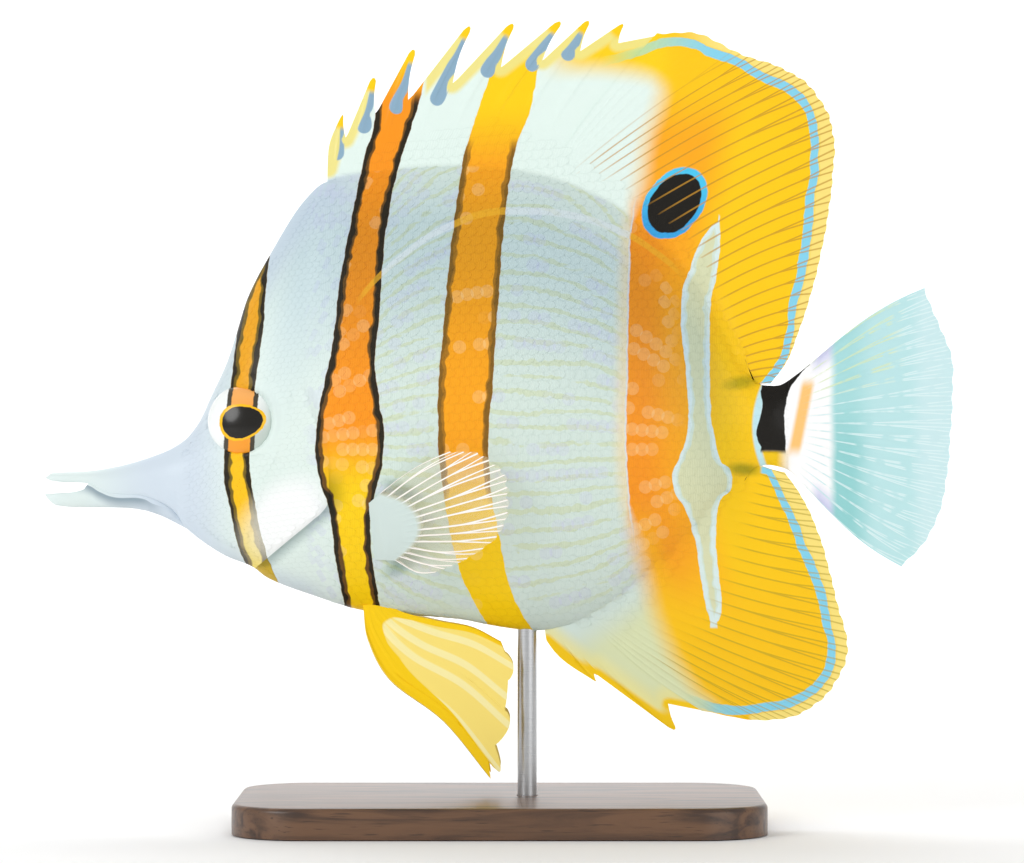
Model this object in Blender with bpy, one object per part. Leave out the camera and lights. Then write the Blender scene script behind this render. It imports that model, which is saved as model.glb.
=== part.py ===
"""A copperband butterflyfish as a still, life-size display model on a rod and a flat base.

The fish faces -X with its back towards +Z, so its left side is -Y. All sizes are millimetres
until a mesh is made. The outlines are measured from the fish's own axis, the level line through
the eye and the tail root. The body is a row of upright sections. Each median fin stands on the
body's back or belly line, and each paired fin is rooted in the body and cut clear of it.
"""

import math

import bmesh
import bpy
import numpy as np
from mathutils import Matrix, Vector

MM = 0.001
AXIS_HEIGHT = 80.5  # the fish's axis above the floor
SNOUT_TIP = -90.0
TAIL_ROOT = 60.0
GAP = 0.3  # between pieces that touch

# Outlines of the body from the side, as (along, height) from the axis
BACK = (
    (-90, -11.5), (-88.6, -10.5), (-82, -10.2), (-76, -9.3), (-67, -6.6), (-62.5, -4.1),
    (-59.6, -0.6), (-57, 4.9), (-54, 11.4), (-52, 17.5), (-50, 23.9), (-45.7, 32.3),
    (-38.4, 43.7), (-34.5, 47.0), (-23, 49.2), (-9.5, 50.1), (4, 49.1), (19.3, 44.1),
    (31, 35.8), (38.6, 27.7), (44, 18.6), (48.2, 10.4), (51.4, 6.9), (54.5, 6.7), (60, 9.8),
)
UNDERSIDE = (
    (-90, -11.9), (-88, -12.1), (-82.3, -12.3), (-80.8, -12.9), (-79, -14.1), (-76.5, -15.0),
    (-71, -15.4), (-66, -17.2), (-64, -18.9), (-62.3, -21.5), (-57.7, -25.2), (-53.8, -27.5),
    (-49, -29.4), (-46, -31.6), (-38.4, -34.6), (-26, -38.2), (-9.5, -39.6), (6.8, -42.0),
    (13.6, -40.8), (21, -37.2), (34.7, -25.6), (45.3, -14.2), (49.2, -10.6), (52.5, -9.2),
    (56, -9.8), (60, -12.4),
)
CHIN = (
    (-90, -15.0), (-89.2, -15.9), (-87.5, -16.8), (-81.7, -17.2), (-75, -17.3), (-71, -17.9),
    (-67.3, -19.1), (-63.4, -21.0),
)
GAPE_FLOOR = ((-90, -14.5), (-87.5, -14.2), (-84.5, -14.1), (-82.5, -13.7), (-81, -13.5))

# Half the body's width, and the height at which it is widest
HALF_WIDTH = (
    (-90, 0.8), (-89, 1.6), (-87, 2.1), (-82, 2.4), (-76, 2.8), (-70, 3.4), (-65, 4.2),
    (-61, 5.4), (-57, 7.0), (-52, 8.7), (-46, 10.2), (-38, 11.8), (-28, 12.9), (-16, 13.4),
    (-4, 13.3), (8, 12.5), (20, 10.8), (30, 8.8), (38, 6.8), (45, 4.9), (50, 3.8), (55, 3.2),
    (60, 2.5),
)
JAW_HALF_WIDTH = ((-90, 0.9), (-89, 1.7), (-87, 2.2), (-76, 2.5), (-70, 2.7), (-66, 2.1), (-63.4, 1.0))
WIDEST = (
    (-90, -11.7), (-82, -11.4), (-76, -12.4), (-66, -12.2), (-60, -10.5), (-55, -8.0),
    (-48, -5.5), (-38, -4.0), (0, -1.0), (20, 0.0), (45, 0.0), (60, -1.2),
)
# Half the flat strip along the back and belly, and how sharply the sides close on it:
# 1 is an ellipse and 2 a lens
BACK_EDGE = ((-90, 0.3), (-80, 0.5), (-60, 0.7), (-40, 1.0), (-34, 1.7), (0, 1.9), (45, 1.4), (60, 0.6))
BELLY_EDGE = (
    (-90, 0.5), (-86, 1.4), (-80, 1.9), (-72, 2.3), (-66, 2.3), (-62, 1.0), (-30, 1.2),
    (6, 1.3), (12, 1.7), (30, 1.7), (45, 1.4), (60, 0.6),
)
BACK_TAPER = ((-90, 1.0), (-65, 1.1), (-52, 1.35), (-38, 1.6), (-20, 1.7), (45, 1.6), (60, 1.2))
BELLY_TAPER = ((-90, 0.6), (-66, 0.7), (-60, 1.1), (4, 1.25), (12, 1.6), (45, 1.6), (60, 1.2))

# Where the body is parted, along its length
JAW_CUT = -79.0
NECK_CUT = -37.0
TAIL_CUT = 46.5
JAW_END = -63.6
GAPE_END = -81.0  # the mouth is open ahead of this

# Sections along the body as (start, step) stretches, and from belly to back on one side
BODY_STRETCHES = (
    (SNOUT_TIP, 0.7), (-88, 2.2), (-66, 1.5), (-46, 3.0), (-34, 4.3), (34, 2.4), (48, 1.5),
    (52, 2.0), (TAIL_ROOT, 1),
)
JAW_STRETCHES = ((SNOUT_TIP, 0.7), (-88, 2.0), (JAW_END, 1))
SECTION_STEPS = 14
JAW_SECTION_STEPS = 9

# Lower jaw: its widest place as a share of its depth, and its flat strips and tapers, low and high
JAW_WIDEST = 0.35
JAW_STRIPS = (0.25, 0.75)
JAW_TAPERS = (0.95, 0.6)
JAW_CLEAR = 0.4

# Eyes
EYE_CENTRE = (-51.1, 6.9, -0.4)
EYE_RADIUS = 7.3
EYE_DEPTH = 3.6
EYE_YAW = math.radians(14)  # the eye looks a little forwards
EYE_PITCH = math.radians(6)  # and a little up
NOSTRILS = ((-60.6, -5.0, 0.6), (-62.0, -6.6, 0.5))  # along, height, radius

# Gill cover, from its upper corner down to the throat
GILL_FRONT = ((-40.2, 6.4), (-42.4, -4.0), (-45.4, -12.0), (-48.2, -20.0), (-50.4, -27.0))
GILL_REAR = ((-37.8, 6.6), (-34.6, -3.0), (-33.3, -11.0), (-34.4, -17.4), (-47.2, -28.2))
GILL_RAISED = 0.45
GILL_INSIDE = 0.8
POCKET_OUTSIDE = 3.0

# Every fin: half its membrane, a spine's extra half thickness, and a soft ray's
WEB_HALF = 0.27
SPINE_HALF = 0.45
RAY_HALF = 0.28
FIN_RAY_BOW = 1.0
FULL_BOW_LENGTH = 30.0  # shorter rays are bowed less
SCALLOP = 0.985  # how far the membrane between two rays reaches, as a share of the rays

# Between two spines, from the front one: share of the way to the next root, share of the way
# from the tip to the notch or from the notch to the next tip, and how far it is raised
BEHIND_TIP = (0.18, 0.62, 0.3)
AT_NOTCH = (0.4, 1.0, 0.0)
BEFORE_TIP = (0.72, 0.52, 0.3)
SPINY_ROWS = 7
SPINY_WEB_HALF = 0.3
SPINY_WEB_TAPER = 1.5

# Spines of the back: root along the body, tip, and the notch in the membrane behind the tip
BACK_FIN_FRONT = (-34.6, (-33.8, 50.5))
BACK_SPINES = (
    (-33.6, (-31.3, 60.4), (-30.5, 55.4)),
    (-29.5, (-24.9, 67.6), (-24.6, 60.2)),
    (-25.0, (-17.0, 73.2), (-18.2, 62.8)),
    (-19.5, (-5.9, 77.8), (-9.4, 66.2)),
    (-13.5, (2.6, 78.3), (0.2, 69.5)),
    (-7.5, (12.0, 78.7), (8.4, 70.9)),
    (-1.5, (17.6, 78.9), (15.9, 72.8)),
    (4.0, (24.4, 78.2), (23.4, 74.4)),
    (8.0, (30.9, 76.5), None),
)
# Soft rays of the back: root along the body, and tip, for a few of them
BACK_RAYS = (
    (8.4, (31.2, 76.5)), (9.7, (39.6, 76.4)), (11.2, (47.3, 72.6)), (14.0, (55.0, 70.1)),
    (18.6, (60.7, 66.8)), (24.4, (65.0, 61.0)), (30.2, (66.5, 54.9)), (34.7, (66.0, 47.5)),
    (38.4, (65.1, 39.8)), (41.6, (63.6, 32.1)), (44.2, (61.6, 24.4)), (46.4, (59.2, 17.1)),
    (48.1, (56.7, 11.6)), (49.6, (54.0, 8.4)),
)
BACK_RAY_COUNT = 28
SOFT_ROWS = 8
SOFT_WEB_TAPER = 1.7

ANAL_FIN_FRONT = (9.0, (12.6, -46.0))
ANAL_SPINES = (
    (9.6, (19.0, -51.8), (18.9, -49.4)),
    (13.0, (34.7, -61.6), (33.3, -56.4)),
    (16.0, (39.6, -58.0), None),
)
ANAL_RAYS = (
    (16.5, (40.1, -57.9)), (17.4, (50.1, -59.7)), (19.0, (57.8, -59.1)), (21.2, (63.6, -56.0)),
    (24.0, (67.5, -51.0)), (27.4, (69.1, -44.9)), (31.3, (67.5, -38.1)), (35.6, (65.9, -31.8)),
    (39.6, (64.2, -25.6)), (43.2, (62.1, -19.8)), (46.6, (59.2, -15.2)), (50.0, (55.6, -11.4)),
)
ANAL_RAY_COUNT = 20

# Tail fin: tips of some rays from the upper corner to the lower, and the bow of its two edges
TAIL_TIPS = (
    (84.2, 26.0), (87.0, 19.0), (89.6, 12.5), (89.9, 4.5), (89.5, -3.0), (88.9, -9.5),
    (87.7, -16.9), (84.8, -23.8), (79.6, -29.3),
)
TAIL_RAY_COUNT = 17
TAIL_EDGE_BOW = 1.0
TAIL_EDGE_HALF = 0.2  # the stouter rays along its two edges, over an eighth of its depth each
TAIL_EDGE_SHARE = 1 / 8
TAIL_FORK = 0.5
TAIL_ROWS = 8
TAIL_WEB_TAPER = 2.2

# Breast fin: where it leaves the body, where its rays begin, and their tips, top to bottom
BREAST_ROOTS = ((-26.5, -17.6), (-25.6, -22.4), (-25.2, -27.2))
BREAST_RAY_STARTS = (
    (-23.4, -14.6), (-20.1, -16.2), (-18.2, -18.2), (-17.1, -20.6), (-17.2, -23.2),
    (-18.6, -25.6), (-20.3, -27.6),
)
BREAST_TIPS = (
    (-9.6, -6.2), (-3.6, -6.6), (1.2, -10.6), (2.3, -16.2), (0.7, -21.9), (-5.7, -27.0),
    (-13.0, -30.2),
)
BREAST_RAY_COUNT = 14
BREAST_FLARE = math.radians(24)
BREAST_SUNK = 1.0  # its root's depth in the body
BREAST_CURL = 0.006  # it bends back to the body with the square of its length
BREAST_CUP = 0.9  # its middle stands out from its edges
BREAST_LENGTH = 24.0
BREAST_SCALLOP = 0.97
BREAST_ROWS = 7
LOBE_ROWS = 2
LOBE_HALF = 1.34
LOBE_THINS = 0.62
BREAST_WEB_HALF = 0.26
BREAST_RAY_HALF = 0.2

# Belly fin: front edge, rear edge, and the tips between them, as its spine and five rays end
BELLY_FIN_FRONT = ((-27.0, -37.0), (-26.0, -43.5), (-21.5, -51.5), (-11.0, -59.5), (-1.8, -70.6))
BELLY_FIN_REAR = ((-23.4, -36.2), (-18.8, -38.4), (-12.0, -40.0), (-5.5, -41.3), (0.2, -44.2))
BELLY_FIN_TIPS = ((-1.8, -70.6), (0.1, -69.2), (1.9, -60.4), (1.4, -54.8), (2.7, -48.9), (0.2, -44.2))
BELLY_FIN_NOTCHES = ((-2.4, -66.4), (-1.0, -64.2), (0.9, -57.6), (1.6, -51.6), (1.0, -46.2))
BELLY_FIN_ROOT_SIDE = 2.6
BELLY_FIN_ROOT_HEIGHT = -37.0
BELLY_FIN_SPLAY = math.tan(math.radians(9))
BELLY_FIN_SWEEP = 1.2  # its rear edge lies nearer the middle
BELLY_FIN_CUP = 0.7
BELLY_FIN_ROOT_HALF = 1.15
BELLY_FIN_WEB_TAPER = 2.5
BELLY_SPINE_HALF = 0.65
BELLY_RAY_HALF = 0.3
BELLY_FIN_ROWS = 8

# Stand
ROD_AT = 5.4
ROD_RADIUS = 1.9
ROD_IN_BODY = 9.0
ROD_IN_BASE = 3.5
BASE_LENGTH = 104.0
BASE_WIDTH = 62.0
BASE_THICKNESS = 6.0
BASE_CORNER = 14.0
BASE_BEVEL = 1.0
CORNER_STEPS = 6
CUTTER_OVERRUN = 12.0

MATERIALS = {
    "pearl_skin": ((0.74, 0.83, 0.82), 0.35),
    "copper_fin": ((0.98, 0.60, 0.03), 0.4),
    "yellow_fin": ((0.97, 0.62, 0.02), 0.4),
    "aqua_fin": ((0.55, 0.80, 0.80), 0.35),
    "clear_fin": ((0.80, 0.87, 0.83), 0.3),
    "eye": ((0.05, 0.04, 0.03), 0.1),
    "walnut": ((0.16, 0.08, 0.04), 0.45),
    "steel": ((0.60, 0.60, 0.60), 0.3),
}
METALLIC = {"steel"}


def graph(knots):
    """A smooth curve through (along, value) knots that never swings past them."""
    xs, ys = np.array(knots, float).T
    rise = np.diff(ys) / np.diff(xs)
    slopes = np.concatenate([rise[:1], np.zeros(len(xs) - 2), rise[-1:]])
    for i in range(1, len(xs) - 1):
        if rise[i - 1] * rise[i] > 0:
            slopes[i] = 2 * rise[i - 1] * rise[i] / (rise[i - 1] + rise[i])

    def at(x):
        i = int(np.clip(np.searchsorted(xs, x) - 1, 0, len(xs) - 2))
        width = xs[i + 1] - xs[i]
        t = min(max((x - xs[i]) / width, 0.0), 1.0)
        start, end = ys[i], ys[i + 1]
        return (
            start * (1 + 2 * t) * (1 - t) ** 2
            + width * slopes[i] * t * (1 - t) ** 2
            + end * t * t * (3 - 2 * t)
            - width * slopes[i + 1] * t * t * (1 - t)
        )

    return at


def through(keys, share):
    """The point at share (0 to 1) of the smooth curve through evenly spaced keys."""
    keys = np.array(keys, float)
    place = min(max(share, 0.0), 1.0) * (len(keys) - 1)
    i = min(int(place), len(keys) - 2)
    t = place - i
    before = keys[i - 1] if i else 2 * keys[0] - keys[1]
    after = keys[i + 2] if i + 2 < len(keys) else 2 * keys[-1] - keys[-2]
    start, end = keys[i], keys[i + 1]
    return 0.5 * (
        2 * start
        + (end - before) * t
        + (2 * before - 5 * start + 4 * end - after) * t**2
        + (3 * start - before - 3 * end + after) * t**3
    )


back = graph(BACK)
underside = graph(UNDERSIDE)
chin = graph(CHIN)
gape_floor = graph(GAPE_FLOOR)
half_width = graph(HALF_WIDTH)
jaw_half_width = graph(JAW_HALF_WIDTH)
widest = graph(WIDEST)
back_edge = graph(BACK_EDGE)
belly_edge = graph(BELLY_EDGE)
back_taper = graph(BACK_TAPER)
belly_taper = graph(BELLY_TAPER)


def material(name):
    made = bpy.data.materials.new(name)
    made.use_nodes = True
    colour, roughness = MATERIALS[name]
    shader = made.node_tree.nodes["Principled BSDF"]
    shader.inputs["Base Color"].default_value = (*colour, 1)
    shader.inputs["Roughness"].default_value = roughness
    shader.inputs["Metallic"].default_value = 1.0 if name in METALLIC else 0.0
    return made


def solid(name, points, faces, finish=None):
    """An object from points in millimetres about the fish's axis."""
    mesh = bpy.data.meshes.new(name)
    lifted = [(x * MM, y * MM, (z + AXIS_HEIGHT) * MM) for x, y, z in points]
    mesh.from_pydata(lifted, [], faces)
    work = bmesh.new()
    work.from_mesh(mesh)
    bmesh.ops.recalc_face_normals(work, faces=work.faces)
    work.to_mesh(mesh)
    work.free()
    made = bpy.data.objects.new(name, mesh)
    bpy.context.collection.objects.link(made)
    if finish:
        mesh.materials.append(finish)
        mesh.shade_smooth()
    return made


def helper(made):
    made.hide_render = True
    made.display_type = "WIRE"
    return made


def cut(piece, cutter, operation="DIFFERENCE"):
    boolean = piece.modifiers.new("cut_by_" + cutter.name, "BOOLEAN")
    boolean.operation = operation
    boolean.solver = "EXACT"
    boolean.object = cutter


def upright_ring(x, top, bottom, middle, wide, edges, tapers, steps=SECTION_STEPS):
    """A closed section across the body, up its +Y side and down its -Y side."""
    side = []
    for j in range(steps + 1):
        turn = math.pi * (j / steps - 0.5)
        upper = turn > 0
        reach = top - middle if upper else middle - bottom
        edge, taper = edges[upper], tapers[upper]
        y = edge + (wide - edge) * max(math.cos(turn), 0.0) ** taper
        side.append((y, middle + reach * math.sin(turn)))
    return [(x, y, z) for y, z in side] + [(x, -y, z) for y, z in reversed(side)]


def body_ring(x, grow=0.0):
    return upright_ring(
        x,
        back(x) + grow,
        underside(x) - grow,
        widest(x),
        half_width(x) + grow,
        (belly_edge(x) + grow, back_edge(x) + grow),
        (belly_taper(x), back_taper(x)),
    )


def body_side(x, z):
    """Half the body's width at a place seen from the side."""
    upper = z > widest(x)
    reach = (back(x) - widest(x)) if upper else (widest(x) - underside(x))
    edge = back_edge(x) if upper else belly_edge(x)
    taper = back_taper(x) if upper else belly_taper(x)
    share = min(abs(z - widest(x)) / reach, 1.0)
    return edge + (half_width(x) - edge) * math.sqrt(1 - share * share) ** taper


def jaw_ring(x):
    """A section of the lower jaw: flat where it meets the head, round under the chin."""
    roof = gape_floor(x) if x < GAPE_END else underside(x) - JAW_CLEAR
    middle = roof + JAW_WIDEST * (chin(x) - roof)
    wide = jaw_half_width(x)
    strips = tuple(wide * share for share in JAW_STRIPS)
    return upright_ring(x, roof, chin(x), middle, wide, strips, JAW_TAPERS, JAW_SECTION_STEPS)


def loft(name, rings, finish=None):
    """A closed solid over a row of like sections."""
    count = len(rings[0])
    faces = [tuple(range(count)), tuple(range((len(rings) - 1) * count, len(rings) * count))]
    for r in range(len(rings) - 1):
        for j in range(count):
            a, b = r * count + j, r * count + (j + 1) % count
            faces.append((a, b, b + count, a + count))
    return solid(name, [p for ring in rings for p in ring], faces, finish)


def stations(*stops):
    """Places along the body: (start, step) pairs in order, and the end."""
    places = []
    for (start, step), (end, _) in zip(stops, stops[1:]):
        count = max(1, round((end - start) / step))
        places += [start + (end - start) * i / count for i in range(count)]
    return places + [stops[-1][0]]


def body_length(name, start, end, grow=0.0, finish=None):
    """A length of the body, parted square across."""
    inner = [x for x in stations(*BODY_STRETCHES) if start + GAP < x < end - GAP]
    return loft(name, [body_ring(x, grow) for x in [start, *inner, end]], finish)


def plate(name, middle, half, columns, rows, finish=None, facing=None):
    """A closed thin plate. middle(c, r) is a point of its mid surface and half(c, r) half its
    thickness, over counts of columns and rows. Both faces are split into triangles alike."""
    grid = [[Vector(middle(c, r)) for r in range(rows)] for c in range(columns)]
    faces, points = [], []
    for side in (1, -1):
        for c in range(columns):
            for r in range(rows):
                if facing:
                    normal = Vector(facing)
                else:
                    c0, c1 = max(c - 1, 0), min(c + 1, columns - 1)
                    r0, r1 = max(r - 1, 0), min(r + 1, rows - 1)
                    normal = (grid[c1][r] - grid[c0][r]).cross(grid[c][r1] - grid[c][r0])
                    normal.normalize()
                points.append(grid[c][r] + side * float(half(c, r)) * normal)

    def index(c, r, side):
        return side * columns * rows + c * rows + r

    for c in range(columns - 1):
        for r in range(rows - 1):
            one = (grid[c][r] - grid[c + 1][r + 1]).length
            other = (grid[c + 1][r] - grid[c][r + 1]).length
            corners = [(c, r), (c + 1, r), (c + 1, r + 1), (c, r + 1)]
            if other < one:
                corners = corners[1:] + corners[:1]
            for side in (0, 1):
                a, b, d, e = (index(*corner, side) for corner in corners)
                faces += [(a, b, d), (a, d, e)]
    rim = [(c, 0) for c in range(columns)] + [(columns - 1, r) for r in range(1, rows)]
    rim += [(c, rows - 1) for c in range(columns - 2, -1, -1)] + [(0, r) for r in range(rows - 2, 0, -1)]
    for here, after in zip(rim, rim[1:] + rim[:1]):
        a, b = index(*here, 0), index(*after, 0)
        d, e = index(*after, 1), index(*here, 1)
        faces += [(a, b, d), (a, d, e)]
    return solid(name, points, faces, finish)


def root_point(x, line, outward):
    """A fin's root: the body's back or belly line at x, one gap outside it."""
    slope = line(x + 0.2) - line(x - 0.2)
    across = Vector((-slope, 0, 0.4)).normalized()
    return Vector((x, 0, line(x))) + GAP * outward * across


def swept(foot, tip, share, outward):
    """A point on a ray's middle line, which curves a little towards the head."""
    end = Vector((tip[0], 0, tip[1]))
    bow = FIN_RAY_BOW * min((end - foot).length / FULL_BOW_LENGTH, 1.0) * math.sin(math.pi * share)
    return foot.lerp(end, share) + Vector((-0.4 * bow, 0, bow * outward))


def spiny_columns(spines, start, last_gap):
    """Root and top of each column of a spiny fin, and how far it is raised as a spine:
    the spines, and between them the membrane, notched behind each tip."""
    columns = [(start[0], np.array(start[1]), 0.0)]
    for i, (root, tip, notch) in enumerate(spines):
        tip = np.array(tip)
        columns.append((root, tip, 1.0))
        if notch is None:
            continue
        next_root, next_tip = spines[i + 1][0], np.array(spines[i + 1][1])
        notch = np.array(notch)
        for place, begin, end in (
            (BEHIND_TIP, tip, notch), (AT_NOTCH, tip, notch), (BEFORE_TIP, notch, next_tip)
        ):
            along, share, raised = place
            columns.append((root + along * (next_root - root), begin + share * (end - begin), raised))
    root, tip, raised = columns[-1]
    columns[-1] = (root - last_gap, tip - np.array((last_gap, 0)), raised)
    return columns


def spiny_fin(name, spines, start, line, edge, outward, finish):
    """A fin of the midline whose stout spines are raised on a thick scaly membrane."""
    columns = spiny_columns(spines, start, 0.5 * GAP)

    def middle(c, r):
        root, top, _ = columns[c]
        foot = root_point(root, line, outward)
        return swept(foot, top, r / (SPINY_ROWS - 1), outward)

    def half(c, r):
        share = r / (SPINY_ROWS - 1)
        fleshy = (edge(columns[c][0]) - SPINY_WEB_HALF) * (1 - share) ** SPINY_WEB_TAPER
        spine = SPINE_HALF * (1 - share) ** 0.6 * min(share * 5, 1.0)
        return SPINY_WEB_HALF + fleshy + columns[c][2] * spine

    return plate(name, middle, half, len(columns), SPINY_ROWS, finish, facing=(0, 1, 0))


def ray_pattern(quarter, share, fork):
    """How far a column is raised, by its place in quarters of a ray's width and along the ray:
    one ridge near the root, and two past the fork."""
    single = (0.0, 0.5, 1.0, 0.5)[quarter]
    double = (0.0, 1.0, 0.35, 1.0)[quarter]
    return double if share > fork else single


def soft_fin(name, keys, count, line, edge, outward, finish):
    """A fin of the midline on soft rays, each raised as a ridge on the membrane."""
    columns = 2 * count + 1
    roots = [(root, 0.0) for root, _ in keys]
    tips = [tip for _, tip in keys]

    def middle(c, r):
        across = c / (columns - 1)
        share = r / (SOFT_ROWS - 1)
        foot = root_point(through(roots, across)[0], line, outward)
        tip = through(tips, across)
        notched = SCALLOP if c % 2 == 0 and 0 < c < columns - 1 else 1.0
        return swept(foot, tip, share * notched, outward)

    def half(c, r):
        share = r / (SOFT_ROWS - 1)
        root = through(roots, c / (columns - 1))[0]
        web = WEB_HALF + (edge(root) - WEB_HALF) * (1 - share) ** SOFT_WEB_TAPER
        ridge = RAY_HALF * min(share * 3, 1.0) * (1 - 0.5 * share)
        return web + (ridge if c % 2 else 0.0)

    return plate(name, middle, half, columns, SOFT_ROWS, finish, facing=(0, 1, 0))


def tail_fin(finish):
    """The tail fin, whose forked rays run from the body's end to a ragged rear edge."""
    columns = 4 * TAIL_RAY_COUNT + 1
    top, bottom = back(TAIL_ROOT), underside(TAIL_ROOT)

    def middle(c, r):
        across, share = c / (columns - 1), r / (TAIL_ROWS - 1)
        foot = Vector((TAIL_ROOT + GAP, 0, top + (bottom - top) * across))
        tip = through(TAIL_TIPS, across)
        notched = SCALLOP if c % 4 == 0 and 0 < c < columns - 1 else 1.0
        bow = TAIL_EDGE_BOW * math.sin(math.pi * share) * (1 - 2 * across)
        return foot.lerp(Vector((tip[0], 0, tip[1])), share * notched) + Vector((0, 0, bow))

    def half(c, r):
        across, share = c / (columns - 1), r / (TAIL_ROWS - 1)
        z = top + (bottom - top) * across
        web = WEB_HALF + (body_side(TAIL_ROOT, z) - WEB_HALF) * (1 - share) ** TAIL_WEB_TAPER
        edge_ray = TAIL_EDGE_HALF * max(0.0, 1 - min(across, 1 - across) / TAIL_EDGE_SHARE)
        ridge = (RAY_HALF + edge_ray) * min(share * 3, 1.0) * (1 - 0.45 * share)
        return web + ridge * ray_pattern(c % 4, share, TAIL_FORK)

    return plate("tail_fin", middle, half, columns, TAIL_ROWS, finish, facing=(0, 1, 0))


def breast_fin(name, side, body_grown, finish):
    """A breast fin: a fleshy root that hugs the body, and a fan of rays that flares from it."""
    columns = 2 * BREAST_RAY_COUNT + 1
    ray_rows = BREAST_ROWS - 1 - LOBE_ROWS

    def middle(c, r):
        across = c / (columns - 1)
        root, start = through(BREAST_ROOTS, across), through(BREAST_RAY_STARTS, across)
        tip = through(BREAST_TIPS, across)
        scallop = BREAST_SCALLOP if c % 2 == 0 and 0 < c < columns - 1 else 1.0
        tip = start + (tip - start) * scallop
        if r <= LOBE_ROWS:
            place = root + (start - root) * r / LOBE_ROWS
        else:
            place = start + (tip - start) * (r - LOBE_ROWS) / ray_rows
        away = np.linalg.norm(place - root)
        x, z = place
        y = body_side(*root) - BREAST_SUNK + math.tan(BREAST_FLARE) * away - BREAST_CURL * away**2
        y += BREAST_CUP * math.sin(math.pi * across) * away / BREAST_LENGTH
        return (x, side * y, z)

    def half(c, r):
        share = max(0.0, (r - LOBE_ROWS) / ray_rows)
        fleshy = (LOBE_HALF - LOBE_THINS * min(r, LOBE_ROWS)) * (1 - share) ** 2
        edge = 0.35 if c in (0, columns - 1) and r <= LOBE_ROWS else 1.0
        ridge = BREAST_RAY_HALF * (1 - 0.4 * share) if c % 2 and r >= LOBE_ROWS else 0.0
        return (BREAST_WEB_HALF + fleshy) * edge + ridge

    made = plate(name, middle, half, columns, BREAST_ROWS, finish)
    cut(made, body_grown)
    return made


def belly_fin(name, side, body_grown, finish):
    """A belly fin: a stout spine along its front edge and five rays, notched between the tips."""
    tops, raised = [], []
    for i, tip in enumerate(BELLY_FIN_TIPS):
        tops.append((i, np.array(tip)))
        raised.append(1.0)
        if i < len(BELLY_FIN_NOTCHES):
            after = np.array(BELLY_FIN_TIPS[i + 1])
            notch = np.array(BELLY_FIN_NOTCHES[i])
            tops += [(i + 0.25, (tip + notch) / 2), (i + 0.5, notch), (i + 0.75, (notch + after) / 2)]
            raised += [0.35, 0.0, 0.35]
    spans = len(BELLY_FIN_TIPS) - 1

    def middle(c, r):
        place, top = tops[c]
        across, share = place / spans, r / (BELLY_FIN_ROWS - 1)
        front, rear = through(BELLY_FIN_FRONT, share), through(BELLY_FIN_REAR, share)
        ends = np.array(BELLY_FIN_FRONT[-1]), np.array(BELLY_FIN_REAR[-1])
        plain_end = ends[0] + (ends[1] - ends[0]) * across
        x, z = front + (rear - front) * across + (top - plain_end) * share**2
        depth = max(0.0, BELLY_FIN_ROOT_HEIGHT - z)
        y = BELLY_FIN_ROOT_SIDE + BELLY_FIN_SPLAY * depth - BELLY_FIN_SWEEP * across * share
        y += BELLY_FIN_CUP * math.sin(math.pi * share) * (1 - across)
        return (x, side * y, z)

    def half(c, r):
        share = r / (BELLY_FIN_ROWS - 1)
        web = WEB_HALF + BELLY_FIN_ROOT_HALF * (1 - share) ** BELLY_FIN_WEB_TAPER
        spine = BELLY_RAY_HALF if c else BELLY_SPINE_HALF
        return web + raised[c] * spine * (1 - share) ** 0.5 * min(1.0, 0.25 + 3 * share)

    made = plate(name, middle, half, len(tops), BELLY_FIN_ROWS, finish)
    cut(made, body_grown)
    return made


def side_patch(name, side, front, rear, inner, outer, wider=0.0, rows=10, columns=6, finish=None):
    """A plate that follows the body's side between a front and a rear edge, from inner to outer
    millimetres off it, with its outline moved out by wider."""

    def middle(c, r):
        share, across = r / (rows - 1), c / (columns - 1)
        a, b = through(front, share), through(rear, share)
        x, z = a + (b - a) * across
        x += wider * (2 * across - 1)
        z += wider * (1 - 2 * share)
        return (x, side * (body_side(x, z) + (inner + outer) / 2), z)

    thickness = (outer - inner) / 2
    return plate(name, middle, lambda c, r: thickness, columns, rows, finish, facing=(0, 1, 0))


def eyeball(name, side, grow=0.0, finish=None, around=22, along=11):
    """A flattened ball whose short axis points out of the head."""
    work = bmesh.new()
    bmesh.ops.create_uvsphere(work, u_segments=around, v_segments=along, radius=1.0)
    shape = Matrix.Diagonal((EYE_RADIUS + grow, EYE_RADIUS + grow, EYE_DEPTH + grow, 1))
    aim = Vector((-math.sin(EYE_YAW), side * math.cos(EYE_YAW), math.sin(EYE_PITCH)))
    turn = aim.to_track_quat("Z", "Y").to_matrix().to_4x4()
    x, y, z = EYE_CENTRE
    place = Matrix.Translation((x, side * y, z))
    bmesh.ops.transform(work, matrix=place @ turn @ shape, verts=work.verts)
    points = [v.co.copy() for v in work.verts]
    faces = [tuple(v.index for v in f.verts) for f in work.faces]
    work.free()
    return solid(name, points, faces, finish)


def nostril_pit(name, side, x, z, radius):
    work = bmesh.new()
    bmesh.ops.create_uvsphere(work, u_segments=8, v_segments=5, radius=radius)
    bmesh.ops.translate(work, verts=work.verts, vec=(x, side * body_side(x, z), z))
    points = [v.co.copy() for v in work.verts]
    faces = [tuple(v.index for v in f.verts) for f in work.faces]
    work.free()
    return helper(solid(name, points, faces))


def upright_rod(name, x, radius, low, high, finish=None, sides=24):
    rings = []
    for z in (low, high):
        turns = (2 * math.pi * i / sides for i in range(sides))
        rings.append([(x + radius * math.cos(a), radius * math.sin(a), z) for a in turns])
    return loft(name, rings, finish)


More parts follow.
